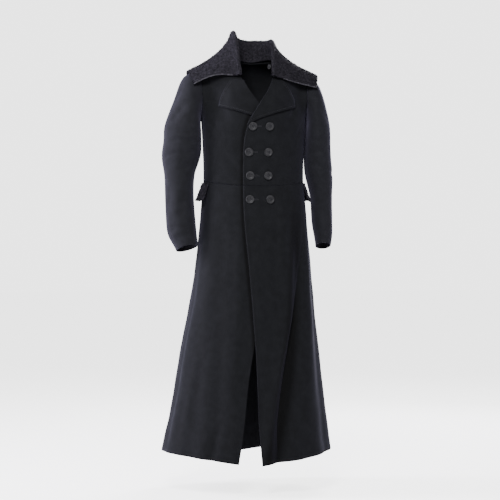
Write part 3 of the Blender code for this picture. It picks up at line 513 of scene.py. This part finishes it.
def smooth_shell(node, mark, materials):
    """A finer copy of a CAD wall: subdivided, with its rims kept crisp."""
    shape = welded(node)
    mark(shape)
    creases = shape.edges.layers.float.new("crease_edge")
    for edge in shape.edges:
        if edge.calc_face_angle(0.0) > SHARP_ANGLE:
            edge[creases] = RIM_CREASE
    mesh = bpy.data.meshes.new(node + "_coarse")
    shape.to_mesh(mesh)
    shape.free()
    piece = linked(node + "_cloth", mesh)
    modifier = piece.modifiers.new("smooth", "SUBSURF")
    modifier.levels = SHELL_LEVELS
    bpy.context.view_layer.update()
    depsgraph = bpy.context.evaluated_depsgraph_get()
    fine = bpy.data.meshes.new_from_object(piece.evaluated_get(depsgraph))
    piece.modifiers.clear()
    piece.data = fine
    bpy.data.meshes.remove(mesh)
    fine.name = node + "_cloth"
    fine.materials.clear()
    for material in materials:
        fine.materials.append(material)
    fine.shade_smooth()
    fine.set_sharp_from_angle(angle=SMOOTH_ANGLE)
    return piece


def points_of(piece, value="co"):
    """The piece's points, or another value of three numbers that each of them has."""
    points = np.zeros(len(piece.data.vertices) * 3)
    piece.data.vertices.foreach_get(value, points)
    return points.reshape(-1, 3)


def move_points(piece, points):
    piece.data.vertices.foreach_set("co", points.astype(np.float32).ravel())
    piece.data.update()


def crease_sum(angles, heights, reach, table):
    """How far the table's creases move each point out, from its angle in degrees and its height."""
    total = np.zeros(len(angles))
    for crease in table:
        off = (angles - crease.angle_0 + 180) % 360 - 180
        x, y = np.radians(off) * reach, heights - crease.z_0
        turn = (crease.angle_1 - crease.angle_0 + 180) % 360 - 180
        to_x, to_y = math.radians(turn) * reach, crease.z_1 - crease.z_0
        length = math.hypot(to_x, to_y)
        along = (x * to_x + y * to_y) / length ** 2
        aside = (x * to_y - y * to_x) / length
        aside -= crease.bow * np.sin(math.pi * np.clip(along, 0, 1))
        ends = ease(0.0, CREASE_GROWN, along)
        if not crease.runs_on:
            ends *= 1 - ease(CREASE_FADES, 1.0, along)
        across = aside / crease.width
        shoulders = np.exp(-((np.abs(across) - SHOULDER_OFF) ** 2))
        form = np.exp(-across ** 2) - CREASE_SHOULDER * shoulders
        total += crease.depth * form * ends
    return total


def mark_painted_shade(piece, lap):
    """Stores painted shade for each point, from 0 to 1: how deep it lies in the main fold or under
    the lap's edge.
    """
    points = points_of(piece)
    angles = body_angles(points)
    depth = -crease_sum(angles, points[:, 2], BODY_REACH, PAINTED_SHADE_BANDS)
    if lap is not None:
        levels, edge = lap
        off = np.interp(points[:, 2], levels, edge) - points[:, 0]
        depth = np.maximum(depth, np.exp(-((off - EDGE_SHADOW[0]) / EDGE_SHADOW[1]) ** 2))
    layer = piece.data.attributes.new("hollow", "FLOAT", "POINT")
    layer.data.foreach_set("value", np.clip(depth, 0.0, 1.0).astype(np.float32))


def lap_edge(piece):
    """The free edge of a front that laps over: heights, and how far towards -X it reaches."""
    points = points_of(piece)
    levels = np.linspace(points[:, 2].min(), points[:, 2].max(), LAP_LEVELS)
    reach = levels[1] - levels[0]
    return levels, np.array([points[np.abs(points[:, 2] - z) < reach, 0].min() for z in levels])


def body_angles(points):
    """Angles round the body in degrees: 0 in front, 90 at the coat's left side."""
    x, y, z = points.T
    lean = HEM_LEAN * ease(WAIST_Z, HEM_Z, z)
    return np.degrees(np.arctan2(x - lean, AXIS_Y - y))


def seam_pull(points, node):
    """Draws a skirt panel to the left side seam, which the solids leave a little open at the hem."""
    x, y, z = points.T
    side = x > BODY_REACH / 2
    toward = {"skirt_front_left": 1, "skirt_back": -1}.get(node, 0)
    if not toward:
        return points
    levels = np.linspace(HEM_Z, WAIST_Z, SEAM_LEVELS)
    step = levels[1] - levels[0]
    edges = [(y[side & (np.abs(z - level) < step)] * toward).max() for level in levels]
    away = np.interp(z, levels, edges) - y * toward
    part = (1 - ease(0.0, SEAM_REACH, away)) * side * (1 - ease(SEAM_OPENS[1], SEAM_OPENS[0], z))
    pulled = points.copy()
    pulled[:, 1] += toward * SEAM_PULL * part
    return pulled


def unevenness(points):
    """How far the wool's own waves move each point out."""
    return sum(
        wave.height * np.sin(points @ np.array([wave.x, wave.y, wave.z]) + wave.start)
        for wave in WAVES
    )


def body_field(points):
    """Outward movement of the coat's body at each point."""
    x, y, z = points.T
    lean = HEM_LEAN * ease(WAIST_Z, HEM_Z, z)
    angles = body_angles(points)
    rise = crease_sum(angles, z, BODY_REACH, BODY_CREASES)
    rise += unevenness(points)
    seam = WAIST_Z + WAIST_RISE * np.sin(np.radians(angles)) ** 2
    rise -= WAIST_SEAM_DEPTH * np.exp(-((z - seam) / WAIST_SEAM_WIDTH) ** 2)
    by_arm = np.exp(-((np.abs(angles) - 90) / ARM_SIDE) ** 2)
    rise *= 1 - by_arm * ease(WAIST_Z - ARM_DROP, WAIST_Z, z)
    rise *= 1 - ease(BODY_FADE[1], BODY_FADE[0], z)
    out = np.stack([x - lean, y - AXIS_Y, np.zeros(len(x))], axis=1)
    out /= np.maximum(np.linalg.norm(out, axis=1, keepdims=True), TINY)
    return out * rise[:, None]


def sleeve_line(node):
    """The middle of a sleeve as a function of height, from its own solid."""
    low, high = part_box(node)
    points = np.array([vertex.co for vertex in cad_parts[node].data.vertices])
    levels = np.linspace(low.z, high.z, SLEEVE_LEVELS)
    middles = []
    for level in levels:
        near = points[np.abs(points[:, 2] - level) < SLEEVE_SLICE]
        middles.append((near.min(0) + near.max(0)) / 2)
    middles = np.array(middles)

    def middle(heights):
        return np.stack([np.interp(heights, levels, middles[:, i]) for i in (0, 1)], axis=1)

    return middle


def sleeve_field(points, middle, side, table):
    """Outward movement of a sleeve; the side next to the body stays where it is."""
    off = points[:, :2] - middle(points[:, 2])
    angles = np.degrees(np.arctan2(side * off[:, 0], -off[:, 1]))
    rise = crease_sum(angles, points[:, 2], SLEEVE_REACH, table)
    rise += unevenness(points)
    inward = np.exp(-((angles + 90) / SLEEVE_INNER_SIDE) ** 2)
    rise = np.minimum(rise, SLEEVE_MOST_RISE) * (1 - inward)
    rise *= 1 - ease(BODY_FADE[1], BODY_FADE[0], points[:, 2]) * SLEEVE_FADE
    length = np.maximum(np.linalg.norm(off, axis=1, keepdims=True), TINY)
    out = np.concatenate([off / length, np.zeros((len(off), 1))], axis=1)
    return out * rise[:, None]


def dressed(piece, node):
    """Puts the piece in the node's place."""
    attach(piece, "root")
    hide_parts(node)


def make_body(materials):
    """Bodice, skirt and lapels."""
    # The third material, near black, is painted shadow on the rims of the fronts that lap over
    faces = [materials["wool"], materials["inside"], materials["edge"]]
    lapped_by = {
        "bodice_front_right": "bodice_front_left",
        "skirt_front_right": "skirt_front_left",
    }
    shells = {}
    for node, mark in (
        ("bodice_front_left", mark_lap),
        ("bodice_front_right", mark_body),
        ("bodice_back", mark_body),
        ("skirt_front_left", mark_lap),
        ("skirt_front_right", mark_body),
        ("skirt_back", mark_body),
        ("lapel_left", mark_lapel),
        ("lapel_right", mark_lapel),
    ):
        shell = smooth_shell(node, mark, faces)
        points = points_of(shell)
        move_points(shell, seam_pull(points, node) + body_field(points))
        over = shells.get(lapped_by.get(node))
        # Painted shade: the main fold, and on a panel under a lapping front, the shadow beside that
        # front's edge
        mark_painted_shade(shell, lap_edge(over) if over else None)
        dressed(shell, node)
        shells[node] = shell
    return shells


def make_sleeves(materials):
    """Sleeves, with their inner side told from the outer one by the way to the sleeve's middle."""
    faces = [materials["sleeve"], materials["inside"]]
    shells = {}
    for node, side, table in (
        ("sleeve_left", 1, SLEEVE_LEFT_CREASES),
        ("sleeve_right", -1, SLEEVE_RIGHT_CREASES),
    ):
        middle = sleeve_line(node)

        def mark(shape):
            for face in shape.faces:
                centre = face.calc_center_median()
                off = Vector((centre.x, centre.y)) - Vector(middle(np.array([centre.z]))[0])
                rim = min(edge.calc_length() for edge in face.edges) < RIM_LENGTH
                rim = rim and any(edge.calc_face_angle(0.0) > SHARP_ANGLE for edge in face.edges)
                face.material_index = 1 if not rim and face.normal.xy.dot(off) < 0 else 0

        shell = smooth_shell(node, mark, faces)
        points = points_of(shell)
        move_points(shell, points + sleeve_field(points, middle, side, table))
        dressed(shell, node)
        shells[node] = shell
    return shells


# Curly pile

def lumps(points):
    """Uneven small hills between 0 and 1, the size of the pile's curls."""
    along = (points * LUMP_SCALE).T
    total = 0.0
    for i, (pace, bend, bend_pace) in enumerate(LUMP_WAVES):
        total = total + np.sin(along[i] * pace + bend * np.sin(along[(i + 1) % 3] * bend_pace))
    return (total / 3 + 1) / 2


def curl_places(piece, side, seed):
    """Points with normals, spread evenly over the pile's faces; side is 0 for the whole piece."""
    chance = random.Random(seed)
    mesh = piece.data
    mesh.calc_loop_triangles()
    points = points_of(piece)
    triangles, weights = [], []
    for triangle in mesh.loop_triangles:
        if triangle.material_index or triangle.center.x * side < 0:
            continue
        if triangle.area > 0:
            triangles.append(tuple(triangle.vertices))
            weights.append(triangle.area)
    wanted = round(CURL_TRIES * sum(weights) / CURL_SPACING ** 2)
    taken, places = {}, []
    for corners in chance.choices(triangles, weights, k=wanted):
        a, b, c = (Vector(points[i]) for i in corners)
        u, v = chance.random(), chance.random()
        if u + v > 1:
            u, v = 1 - u, 1 - v
        place = a + (b - a) * u + (c - a) * v
        cell = tuple(int(math.floor(value / CURL_SPACING)) for value in place)
        near = (
            taken.get((cell[0] + i, cell[1] + j, cell[2] + k), ())
            for i, j, k in product((-1, 0, 1), repeat=3)
        )
        if any((place - other).length < CURL_SPACING for group in near for other in group):
            continue
        taken.setdefault(cell, []).append(place)
        places.append((place, (b - a).cross(c - a).normalized()))
    return places


def make_curls(name, places, material, seed):
    """One mesh of small curls of pile, each an open loop of a few steps lying on the cloth."""
    chance = random.Random(seed)
    points, faces = [], []
    for place, normal in places:
        first = normal.orthogonal().normalized()
        second = normal.cross(first)
        radius = chance.uniform(*CURL_RADIUS)
        turn = chance.uniform(*CURL_TURN) * chance.choice((-1, 1))
        start = chance.uniform(0, 2 * math.pi)
        tip = chance.uniform(*CURL_TIP)
        base = len(points)
        for step in range(CURL_STEPS + 1):
            part = step / CURL_STEPS
            angle = start + turn * part
            around = first * math.cos(angle) + second * math.sin(angle)
            wide = radius * (1 - CURL_CLOSING * part)
            lift = CURL_RISE * math.sin(math.pi * (CURL_ARCH[0] + CURL_ARCH[1] * part)) * tip
            middle = place + around * wide + normal * lift
            full = math.sin(math.pi * min(1.0, part + CURL_FULL))
            thick = CURL_THICK * (1 - CURL_TAPER + CURL_TAPER * full)
            for side in range(CURL_SIDES):
                roll = 2 * math.pi * side / CURL_SIDES
                off = around * math.cos(roll) + normal * math.sin(roll)
                points.append(middle + off * thick)
        for step in range(CURL_STEPS):
            for side in range(CURL_SIDES):
                after = (side + 1) % CURL_SIDES
                low = base + step * CURL_SIDES
                high = low + CURL_SIDES
                faces.append((low + side, low + after, high + after, high + side))
        faces.append(tuple(base + side for side in range(CURL_SIDES)))
        last = base + CURL_STEPS * CURL_SIDES
        faces.append(tuple(last + side for side in range(CURL_SIDES)))
    mesh = bpy.data.meshes.new(name)
    mesh.from_pydata([tuple(point) for point in points], [], faces)
    mesh.shade_smooth()
    mesh.materials.append(material)
    piece = linked(name, mesh)
    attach(piece, "root")
    return piece


def make_pile(materials):
    """The collar and the flaps: a lumpy shell, sunk a little, with small curls standing on it."""
    faces = [materials["pile"], materials["inside"]]
    pieces = {}
    for node, mark in (
        ("collar", mark_collar),
        ("pocket_flap_left", mark_body),
        ("pocket_flap_right", mark_body),
    ):
        shell = smooth_shell(node, mark, faces)
        points, normals = points_of(shell), points_of(shell, "normal")
        under = np.zeros(len(points), bool)
        for polygon in shell.data.polygons:
            if polygon.material_index == 1:
                under[list(polygon.vertices)] = True
        sink = PILE_SINK + PILE_BUMP * (1 - lumps(points))
        points = points - normals * np.where(under, 0.0, sink)[:, None]
        move_points(shell, points)
        dressed(shell, node)
        curls = []
        for part, side in (("left", 1), ("right", -1)) if node == "collar" else (("all", 0),):
            places = curl_places(shell, side, len(node) + side)
            name = f"{node}_curls_{part}"
            curls.append(make_curls(name, places, materials["pile"], len(name)))
        pieces[node] = (shell, curls)
    return pieces


# Sewing

def tube_mesh(name, paths, radius, sides, material, closed=False):
    """One mesh of tubes along the paths, each a list of points with the surface's normals."""
    points, faces = [], []
    for path in paths:
        base, count = len(points), len(path)
        for i, (point, normal) in enumerate(path):
            ahead = path[(i + 1) % count][0] if closed or i + 1 < count else point
            behind = path[i - 1][0] if closed or i > 0 else point
            along = (ahead - behind).normalized()
            side = along.cross(normal).normalized()
            up = side.cross(along)
            for k in range(sides):
                turn = 2 * math.pi * k / sides
                points.append(point + (side * math.cos(turn) + up * math.sin(turn)) * radius)
        spans = count if closed else count - 1
        for i in range(spans):
            for k in range(sides):
                low, high = base + i * sides, base + ((i + 1) % count) * sides
                after = (k + 1) % sides
                faces.append((low + k, low + after, high + after, high + k))
        if not closed:
            faces.append(tuple(base + k for k in range(sides)))
            faces.append(tuple(base + (count - 1) * sides + k for k in range(sides)))
    mesh = bpy.data.meshes.new(name)
    mesh.from_pydata([tuple(point) for point in points], [], faces)
    mesh.shade_smooth()
    mesh.materials.append(material)
    piece = linked(name, mesh)
    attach(piece, "root")
    return piece


def tree_of(piece, outward):
    """Searches the piece's outer side only, without its rims."""
    points = [vertex.co.copy() for vertex in piece.data.vertices]
    faces = [
        tuple(face.vertices)
        for face in piece.data.polygons
        if face.material_index == 0
        and face.normal.dot(outward(face.center).normalized()) > OUTER_FACING
    ]
    return BVHTree.FromPolygons(points, faces)


def rim_path(node, outward, start, end):
    """The shorter way along the edge of a wall's outer side between two places."""
    shape = welded(node)
    outer = set(outer_group(shape, outward)[0])
    after = {}
    for edge in shape.edges:
        if len(outer.intersection(edge.link_faces)) == 1:
            a, b = (vert.co.copy().freeze() for vert in edge.verts)
            after.setdefault(a, []).append(b)
            after.setdefault(b, []).append(a)
    shape.free()
    first = min(after, key=lambda point: (point - Vector(start)).length)
    last = min(after, key=lambda point: (point - Vector(end)).length)
    costs, before, waiting = {first: 0.0}, {}, [first]
    while waiting:
        here = min(waiting, key=costs.get)
        waiting.remove(here)
        for there in after[here]:
            cost = costs[here] + (here - there).length
            if cost < costs.get(there, math.inf):
                costs[there], before[there] = cost, here
                waiting.append(there)
    line = [last]
    while line[-1] != first:
        line.append(before[line[-1]])
    return [Vector(point) for point in reversed(line)]


def evened(line, step):
    """The line as points at even distances, on a smooth curve through its corners."""
    points = np.array([tuple(point) for point in line])
    lengths = np.concatenate([[0.0], np.cumsum(np.linalg.norm(np.diff(points, axis=0), axis=1))])
    count = max(3, round(lengths[-1] / step))
    fine = np.linspace(0, lengths[-1], count * LINE_DENSITY)
    smooth = np.stack([np.interp(fine, lengths, points[:, i]) for i in range(3)], axis=1)
    for _ in range(LINE_ROUNDS):
        smooth[1:-1] = (smooth[:-2] + smooth[1:-1] * 2 + smooth[2:]) / 4
    return [Vector(point) for point in smooth[::LINE_DENSITY]]


def make_piping(materials, collar):
    """The rolled edges along the front ends of the collar's wings, their light colour a painted
    highlight.
    """
    tree = tree_of(collar, collar_up)
    paths = []
    for side in (-1, 1):
        low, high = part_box("collar")
        tip = (low.x if side < 0 else high.x, COLLAR_TIP_Y, COLLAR_TIP_Z)
        gorge = (side * GORGE_X, low.y, PIPING_GORGE_Z)
        line = evened(rim_path("collar", collar_up, gorge, tip), PIPING_STEP)
        path = []
        for point in line:
            if abs(point.x) > PIPING_END:
                place, normal, _, _ = tree.find_nearest(point)
                path.append((place + normal * PIPING_RADIUS * TUBE_LIFT, normal))
        paths.append(path)
    name, highlit_piping = "collar_rolled_edges", materials["highlit_piping"]
    piece = tube_mesh(name, paths, PIPING_RADIUS, PIPING_SIDES, highlit_piping)
    return piece


def stitches_along(line, tree, inset_from):
    """Short runs of thread beside a line, set in towards a point, on the surface below."""
    paths = []
    steps = evened(line, STITCH_LENGTH + STITCH_GAP)
    for here, after in zip(steps, steps[1:]):
        along = (after - here).normalized()
        _, normal, _, _ = tree.find_nearest(here)
        inward = normal.cross(along).normalized()
        if inward.dot(Vector(inset_from) - here) < 0:
            inward = -inward
        path = []
        for part in (0.0, 0.5, 1.0):
            point = here + along * STITCH_LENGTH * part + inward * STITCH_INSET
            place, normal, _, _ = tree.find_nearest(point + normal * STITCH_PROBE)
            dip = STITCH_DIP * abs(2 * part - 1)
            path.append((place + normal * (STITCH_RADIUS * STITCH_LIFT - dip), normal))
        paths.append(path)
    return paths


def make_stitches(materials, body):
    """Edge stitching of the lapels and of the front that laps over."""
    lines = []
    for node, side in (("lapel_left", 1), ("lapel_right", -1)):
        low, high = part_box(node)
        tip = (side * LAPEL_TIP[0], (low.y + high.y) / 2, LAPEL_TIP[1])
        gorge_end = (side * GORGE_X, high.y, high.z)
        foot = (-side * LAPEL_FOOT_X, low.y, low.z)
        middle = ((low.x + high.x) / 2, low.y, (low.z + high.z) / 2)
        lines.append((node, forward, (foot, tip, gorge_end), middle, "thread"))
    low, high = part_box("bodice_front_left")
    ends = ((low.x, low.y, FRONT_STITCH_TOP_Z), (low.x, low.y, low.z))
    middle = (high.x, low.y, (low.z + high.z) / 2)
    lines.append(("bodice_front_left", from_axis, ends, middle, "inside"))
    low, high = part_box("skirt_front_left")
    ends = ((low.x, low.y, high.z - WAIST_RISE), (FRONT_STITCH_FOOT_X, low.y, HEM_Z))
    middle = (high.x, low.y, (low.z + high.z) / 2)
    lines.append(("skirt_front_left", from_axis, ends, middle, "inside"))
    for node, outward, stops, middle, material in lines:
        tree = tree_of(body[node], outward)
        paths = []
        for here, after in zip(stops, stops[1:]):
            paths += stitches_along(rim_path(node, outward, here, after), tree, middle)
        name, thread = node + "_stitches", materials[material]
        tube_mesh(name, paths, STITCH_RADIUS, STITCH_SIDES, thread)


# Buttons

Turn = namedtuple("Turn", "radius height")
BUTTON_BACK = (
    Turn(0.00, 0.02), Turn(0.80, 0.02), Turn(0.93, 0.06), Turn(0.995, 0.13), Turn(1.00, 0.19),
    Turn(0.985, 0.26), Turn(0.945, 0.315), Turn(0.88, 0.33), Turn(0.80, 0.325), Turn(0.73, 0.30),
)
DISHED = BUTTON_BACK + (
    Turn(0.67, 0.23), Turn(0.60, 0.155), Turn(0.50, 0.120), Turn(0.26, 0.105), Turn(0.00, 0.105),
)
DOMED = BUTTON_BACK + (
    Turn(0.68, 0.262), Turn(0.62, 0.250), Turn(0.50, 0.258), Turn(0.26, 0.276), Turn(0.00, 0.280),
)
FRONT_BUTTONS = 8
BODICE_BUTTONS = 6
FRONT_SPIN = 0.35
NECK_SPIN = 0.2
BUTTON_ROUND = 40
HOLE_STEPS = 10
HOLE_SIDES = 5
HOLE_LIFT = 0.0001
# Shares of the button's radius, but for the lifts of the thread, which are shares of its own radius
HOLE_OFF = 0.19
HOLE_SPREAD = 1.4
HOLE_RADIUS = 0.085
HOLE_RIM = 0.030
CROSS_LIFT = 0.7
CROSS_END = 0.2


def button_frame(node):
    """Centre of the back, facing, and radius of a button, from its solid."""
    points = np.array([vertex.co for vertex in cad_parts[node].data.vertices])
    points = np.unique(points.round(6), axis=0)
    middle = points.mean(0)
    _, _, axes = np.linalg.svd(points - middle)
    facing = Vector(axes[2])
    if facing.y > 0:
        facing = -facing
    off = (points - middle) @ np.array(facing)
    flat = (points - middle) - np.outer(off, np.array(facing))
    radius = float(np.linalg.norm(flat, axis=1).max())
    return Vector(middle) + facing * float(off.min()), facing, radius


def make_button(node, materials, turns, spin):
    """A turned button with a raised rim and four holes crossed by thread."""
    back, facing, radius = button_frame(node)
    side = facing.cross(Vector((0.0, 0.0, 1.0))).normalized()
    up = side.cross(facing)

    def around(angle):
        return side * math.cos(angle) + up * math.sin(angle)

    points, faces = [], []
    for row in turns:
        for i in range(BUTTON_ROUND):
            out = around(2 * math.pi * i / BUTTON_ROUND)
            points.append(back + out * radius * row.radius + facing * radius * row.height)
    for row in range(len(turns) - 1):
        for i in range(BUTTON_ROUND):
            low, after = row * BUTTON_ROUND, (i + 1) % BUTTON_ROUND
            high = low + BUTTON_ROUND
            faces.append((low + i, low + after, high + after, high + i))
    mesh = bpy.data.meshes.new(node + "_turned")
    mesh.from_pydata([tuple(point) for point in points], [], faces)
    shape = bmesh.new()
    shape.from_mesh(mesh)
    bmesh.ops.remove_doubles(shape, verts=shape.verts, dist=WELD)
    bmesh.ops.recalc_face_normals(shape, faces=shape.faces)
    shape.to_mesh(mesh)
    shape.free()
    mesh.shade_smooth()
    mesh.materials.append(materials["horn"])
    dressed(linked(node + "_turned", mesh), node)
    floor = back + facing * radius * turns[-1].height
    holes, corners = [], []
    for quarter in range(4):
        angle = spin + math.pi / 4 + quarter * math.pi / 2
        corner = floor + around(angle) * radius * HOLE_OFF * HOLE_SPREAD
        corners.append(corner)
        ring = []
        for k in range(HOLE_STEPS):
            out = around(2 * math.pi * k / HOLE_STEPS)
            ring.append((corner + out * radius * HOLE_RADIUS + facing * HOLE_LIFT, facing))
        holes.append(ring)
    lift = facing * THREAD_RADIUS * CROSS_LIFT
    threads = []
    for a, b in ((corners[0], corners[2]), (corners[1], corners[3])):
        stops = (a + lift * CROSS_END, (a + b) / 2 + lift, b + lift * CROSS_END)
        threads.append([(stop, facing) for stop in stops])
    inside, thread = materials["inside"], materials["thread"]
    rims = tube_mesh(node + "_holes", holes, radius * HOLE_RIM, HOLE_SIDES, inside, closed=True)
    cross = tube_mesh(node + "_thread", threads, THREAD_RADIUS, THREAD_SIDES, thread)


def make_buttonhole(node, shell, materials):
    """A worked buttonhole that runs from under a button towards the middle of the front."""
    back, facing, _ = button_frame(node)
    tree = tree_of(shell, from_axis)
    side = Vector((0.0, 0.0, 1.0)).cross(facing).normalized()
    if side.x < 0:
        side = -side
    up = facing.cross(side).normalized()
    middle = back + side * BUTTONHOLE_SHIFT
    half = (BUTTONHOLE_LENGTH - BUTTONHOLE_WIDTH) / 2
    path = []
    for i in range(BUTTONHOLE_STEPS):
        turn = 2 * math.pi * i / BUTTONHOLE_STEPS
        shift = half if math.cos(turn) > 0 else -half
        if abs(math.cos(turn)) < BUTTONHOLE_STRAIGHT:
            shift = half * math.cos(turn) / BUTTONHOLE_STRAIGHT
        point = middle + side * (shift + math.cos(turn) * BUTTONHOLE_WIDTH / 2)
        point += up * math.sin(turn) * BUTTONHOLE_WIDTH / 2
        place, normal, _, _ = tree.find_nearest(point)
        path.append((place + normal * THREAD_RADIUS * TUBE_LIFT, normal))
    name, thread = node + "_buttonhole", materials["thread"]
    piece = tube_mesh(name, [path], THREAD_RADIUS, THREAD_SIDES, thread, closed=True)


def make_buttons(materials, body):
    """Dished buttons with buttonholes along the free edge of the front, and domed ones elsewhere."""
    for number in range(1, FRONT_BUTTONS + 1):
        node = f"front_button_{number}"
        dished = number % 2 == 1
        make_button(node, materials, DISHED if dished else DOMED, FRONT_SPIN * number)
        if dished:
            panel = "bodice_front_left" if number <= BODICE_BUTTONS else "skirt_front_left"
            make_buttonhole(node, body[panel], materials)
    make_button("neck_button", materials, DOMED, NECK_SPIN)


# A record for the cloth's cuts, which nothing below fills: each panel's rough width and length, and
# the area of its solid's outer face as it was measured, rounded

Cut = namedtuple("Cut", "width length area held rests_on")


# Stage

def area_light(lamp):
    light = bpy.data.lights.new(lamp.name, "AREA")
    light.shape = "RECTANGLE"
    light.size, light.size_y = lamp.size
    light.energy = lamp.power
    light.color = lamp.color
    holder = linked(lamp.name, light)
    holder.location = lamp.place
    toward = Vector(lamp.aim) - Vector(lamp.place)
    holder.rotation_euler = toward.to_track_quat("-Z", "Y").to_euler()


def make_stage():
    """Camera as in the photograph, a plain pale floor and soft light from all sides."""
    right = Vector((math.cos(CAMERA_TURN), math.sin(CAMERA_TURN), 0.0))
    back = Vector((math.sin(CAMERA_TURN), -math.cos(CAMERA_TURN), 0.0))
    camera = bpy.data.cameras.new("camera")
    camera.lens = CAMERA_LENS
    camera.sensor_width = CAMERA_SENSOR
    eye = linked("camera", camera)
    aim = right * CAMERA_SHIFT + Vector((0.0, 0.0, CAMERA_Z))
    eye.location = aim + back * CAMERA_FAR
    eye.rotation_euler = (aim - eye.location).to_track_quat("-Z", "Y").to_euler()
    bpy.context.scene.camera = eye

    floor_mesh = bpy.data.meshes.new("floor")
    far, low = FLOOR_HALF, HEM_Z - FLOOR_DROP
    corners = [(-far, -far, low), (far, -far, low), (far, far, low), (-far, far, low)]
    floor_mesh.from_pydata(corners, [], [(0, 1, 2, 3)])
    pale = new_material("pale_floor", FLOOR_COLOR, FLOOR_ROUGHNESS, 0.0, WHITE)
    tree = pale.node_tree
    seen = tree.nodes.new("ShaderNodeLightPath")
    glow = tree.nodes.new("ShaderNodeMath")
    glow.operation = "MULTIPLY"
    glow.inputs[1].default_value = FLOOR_GLOW
    tree.links.new(seen.outputs["Is Camera Ray"], glow.inputs[0])
    shader = tree.nodes["Principled BSDF"]
    shader.inputs["Emission Color"].default_value = (*WHITE, 1.0)
    tree.links.new(glow.outputs["Value"], shader.inputs["Emission Strength"])
    floor_mesh.materials.append(pale)
    linked("floor", floor_mesh)

    world = bpy.data.worlds.new("studio")
    world.use_nodes = True
    tree = world.node_tree
    around = tree.nodes["Background"]
    behind = tree.nodes.new("ShaderNodeBackground")
    for background, strength in ((around, AIR_LIGHT), (behind, AIR_SEEN)):
        background.inputs["Color"].default_value = (*WHITE, 1.0)
        background.inputs["Strength"].default_value = strength
    path = tree.nodes.new("ShaderNodeLightPath")
    mix = tree.nodes.new("ShaderNodeMixShader")
    tree.links.new(path.outputs["Is Camera Ray"], mix.inputs[0])
    tree.links.new(around.outputs["Background"], mix.inputs[1])
    tree.links.new(behind.outputs["Background"], mix.inputs[2])
    tree.links.new(mix.outputs["Shader"], tree.nodes["World Output"].inputs["Surface"])
    bpy.context.scene.world = world
    for lamp in LAMPS:
        area_light(lamp)


def main():
    materials = make_materials()
    body = make_body(materials)
    sleeves = make_sleeves(materials)
    pile = make_pile(materials)
    highlit_piping = make_piping(materials, pile["collar"][0])
    make_stitches(materials, body)
    make_buttons(materials, body)
    make_stage()


main()
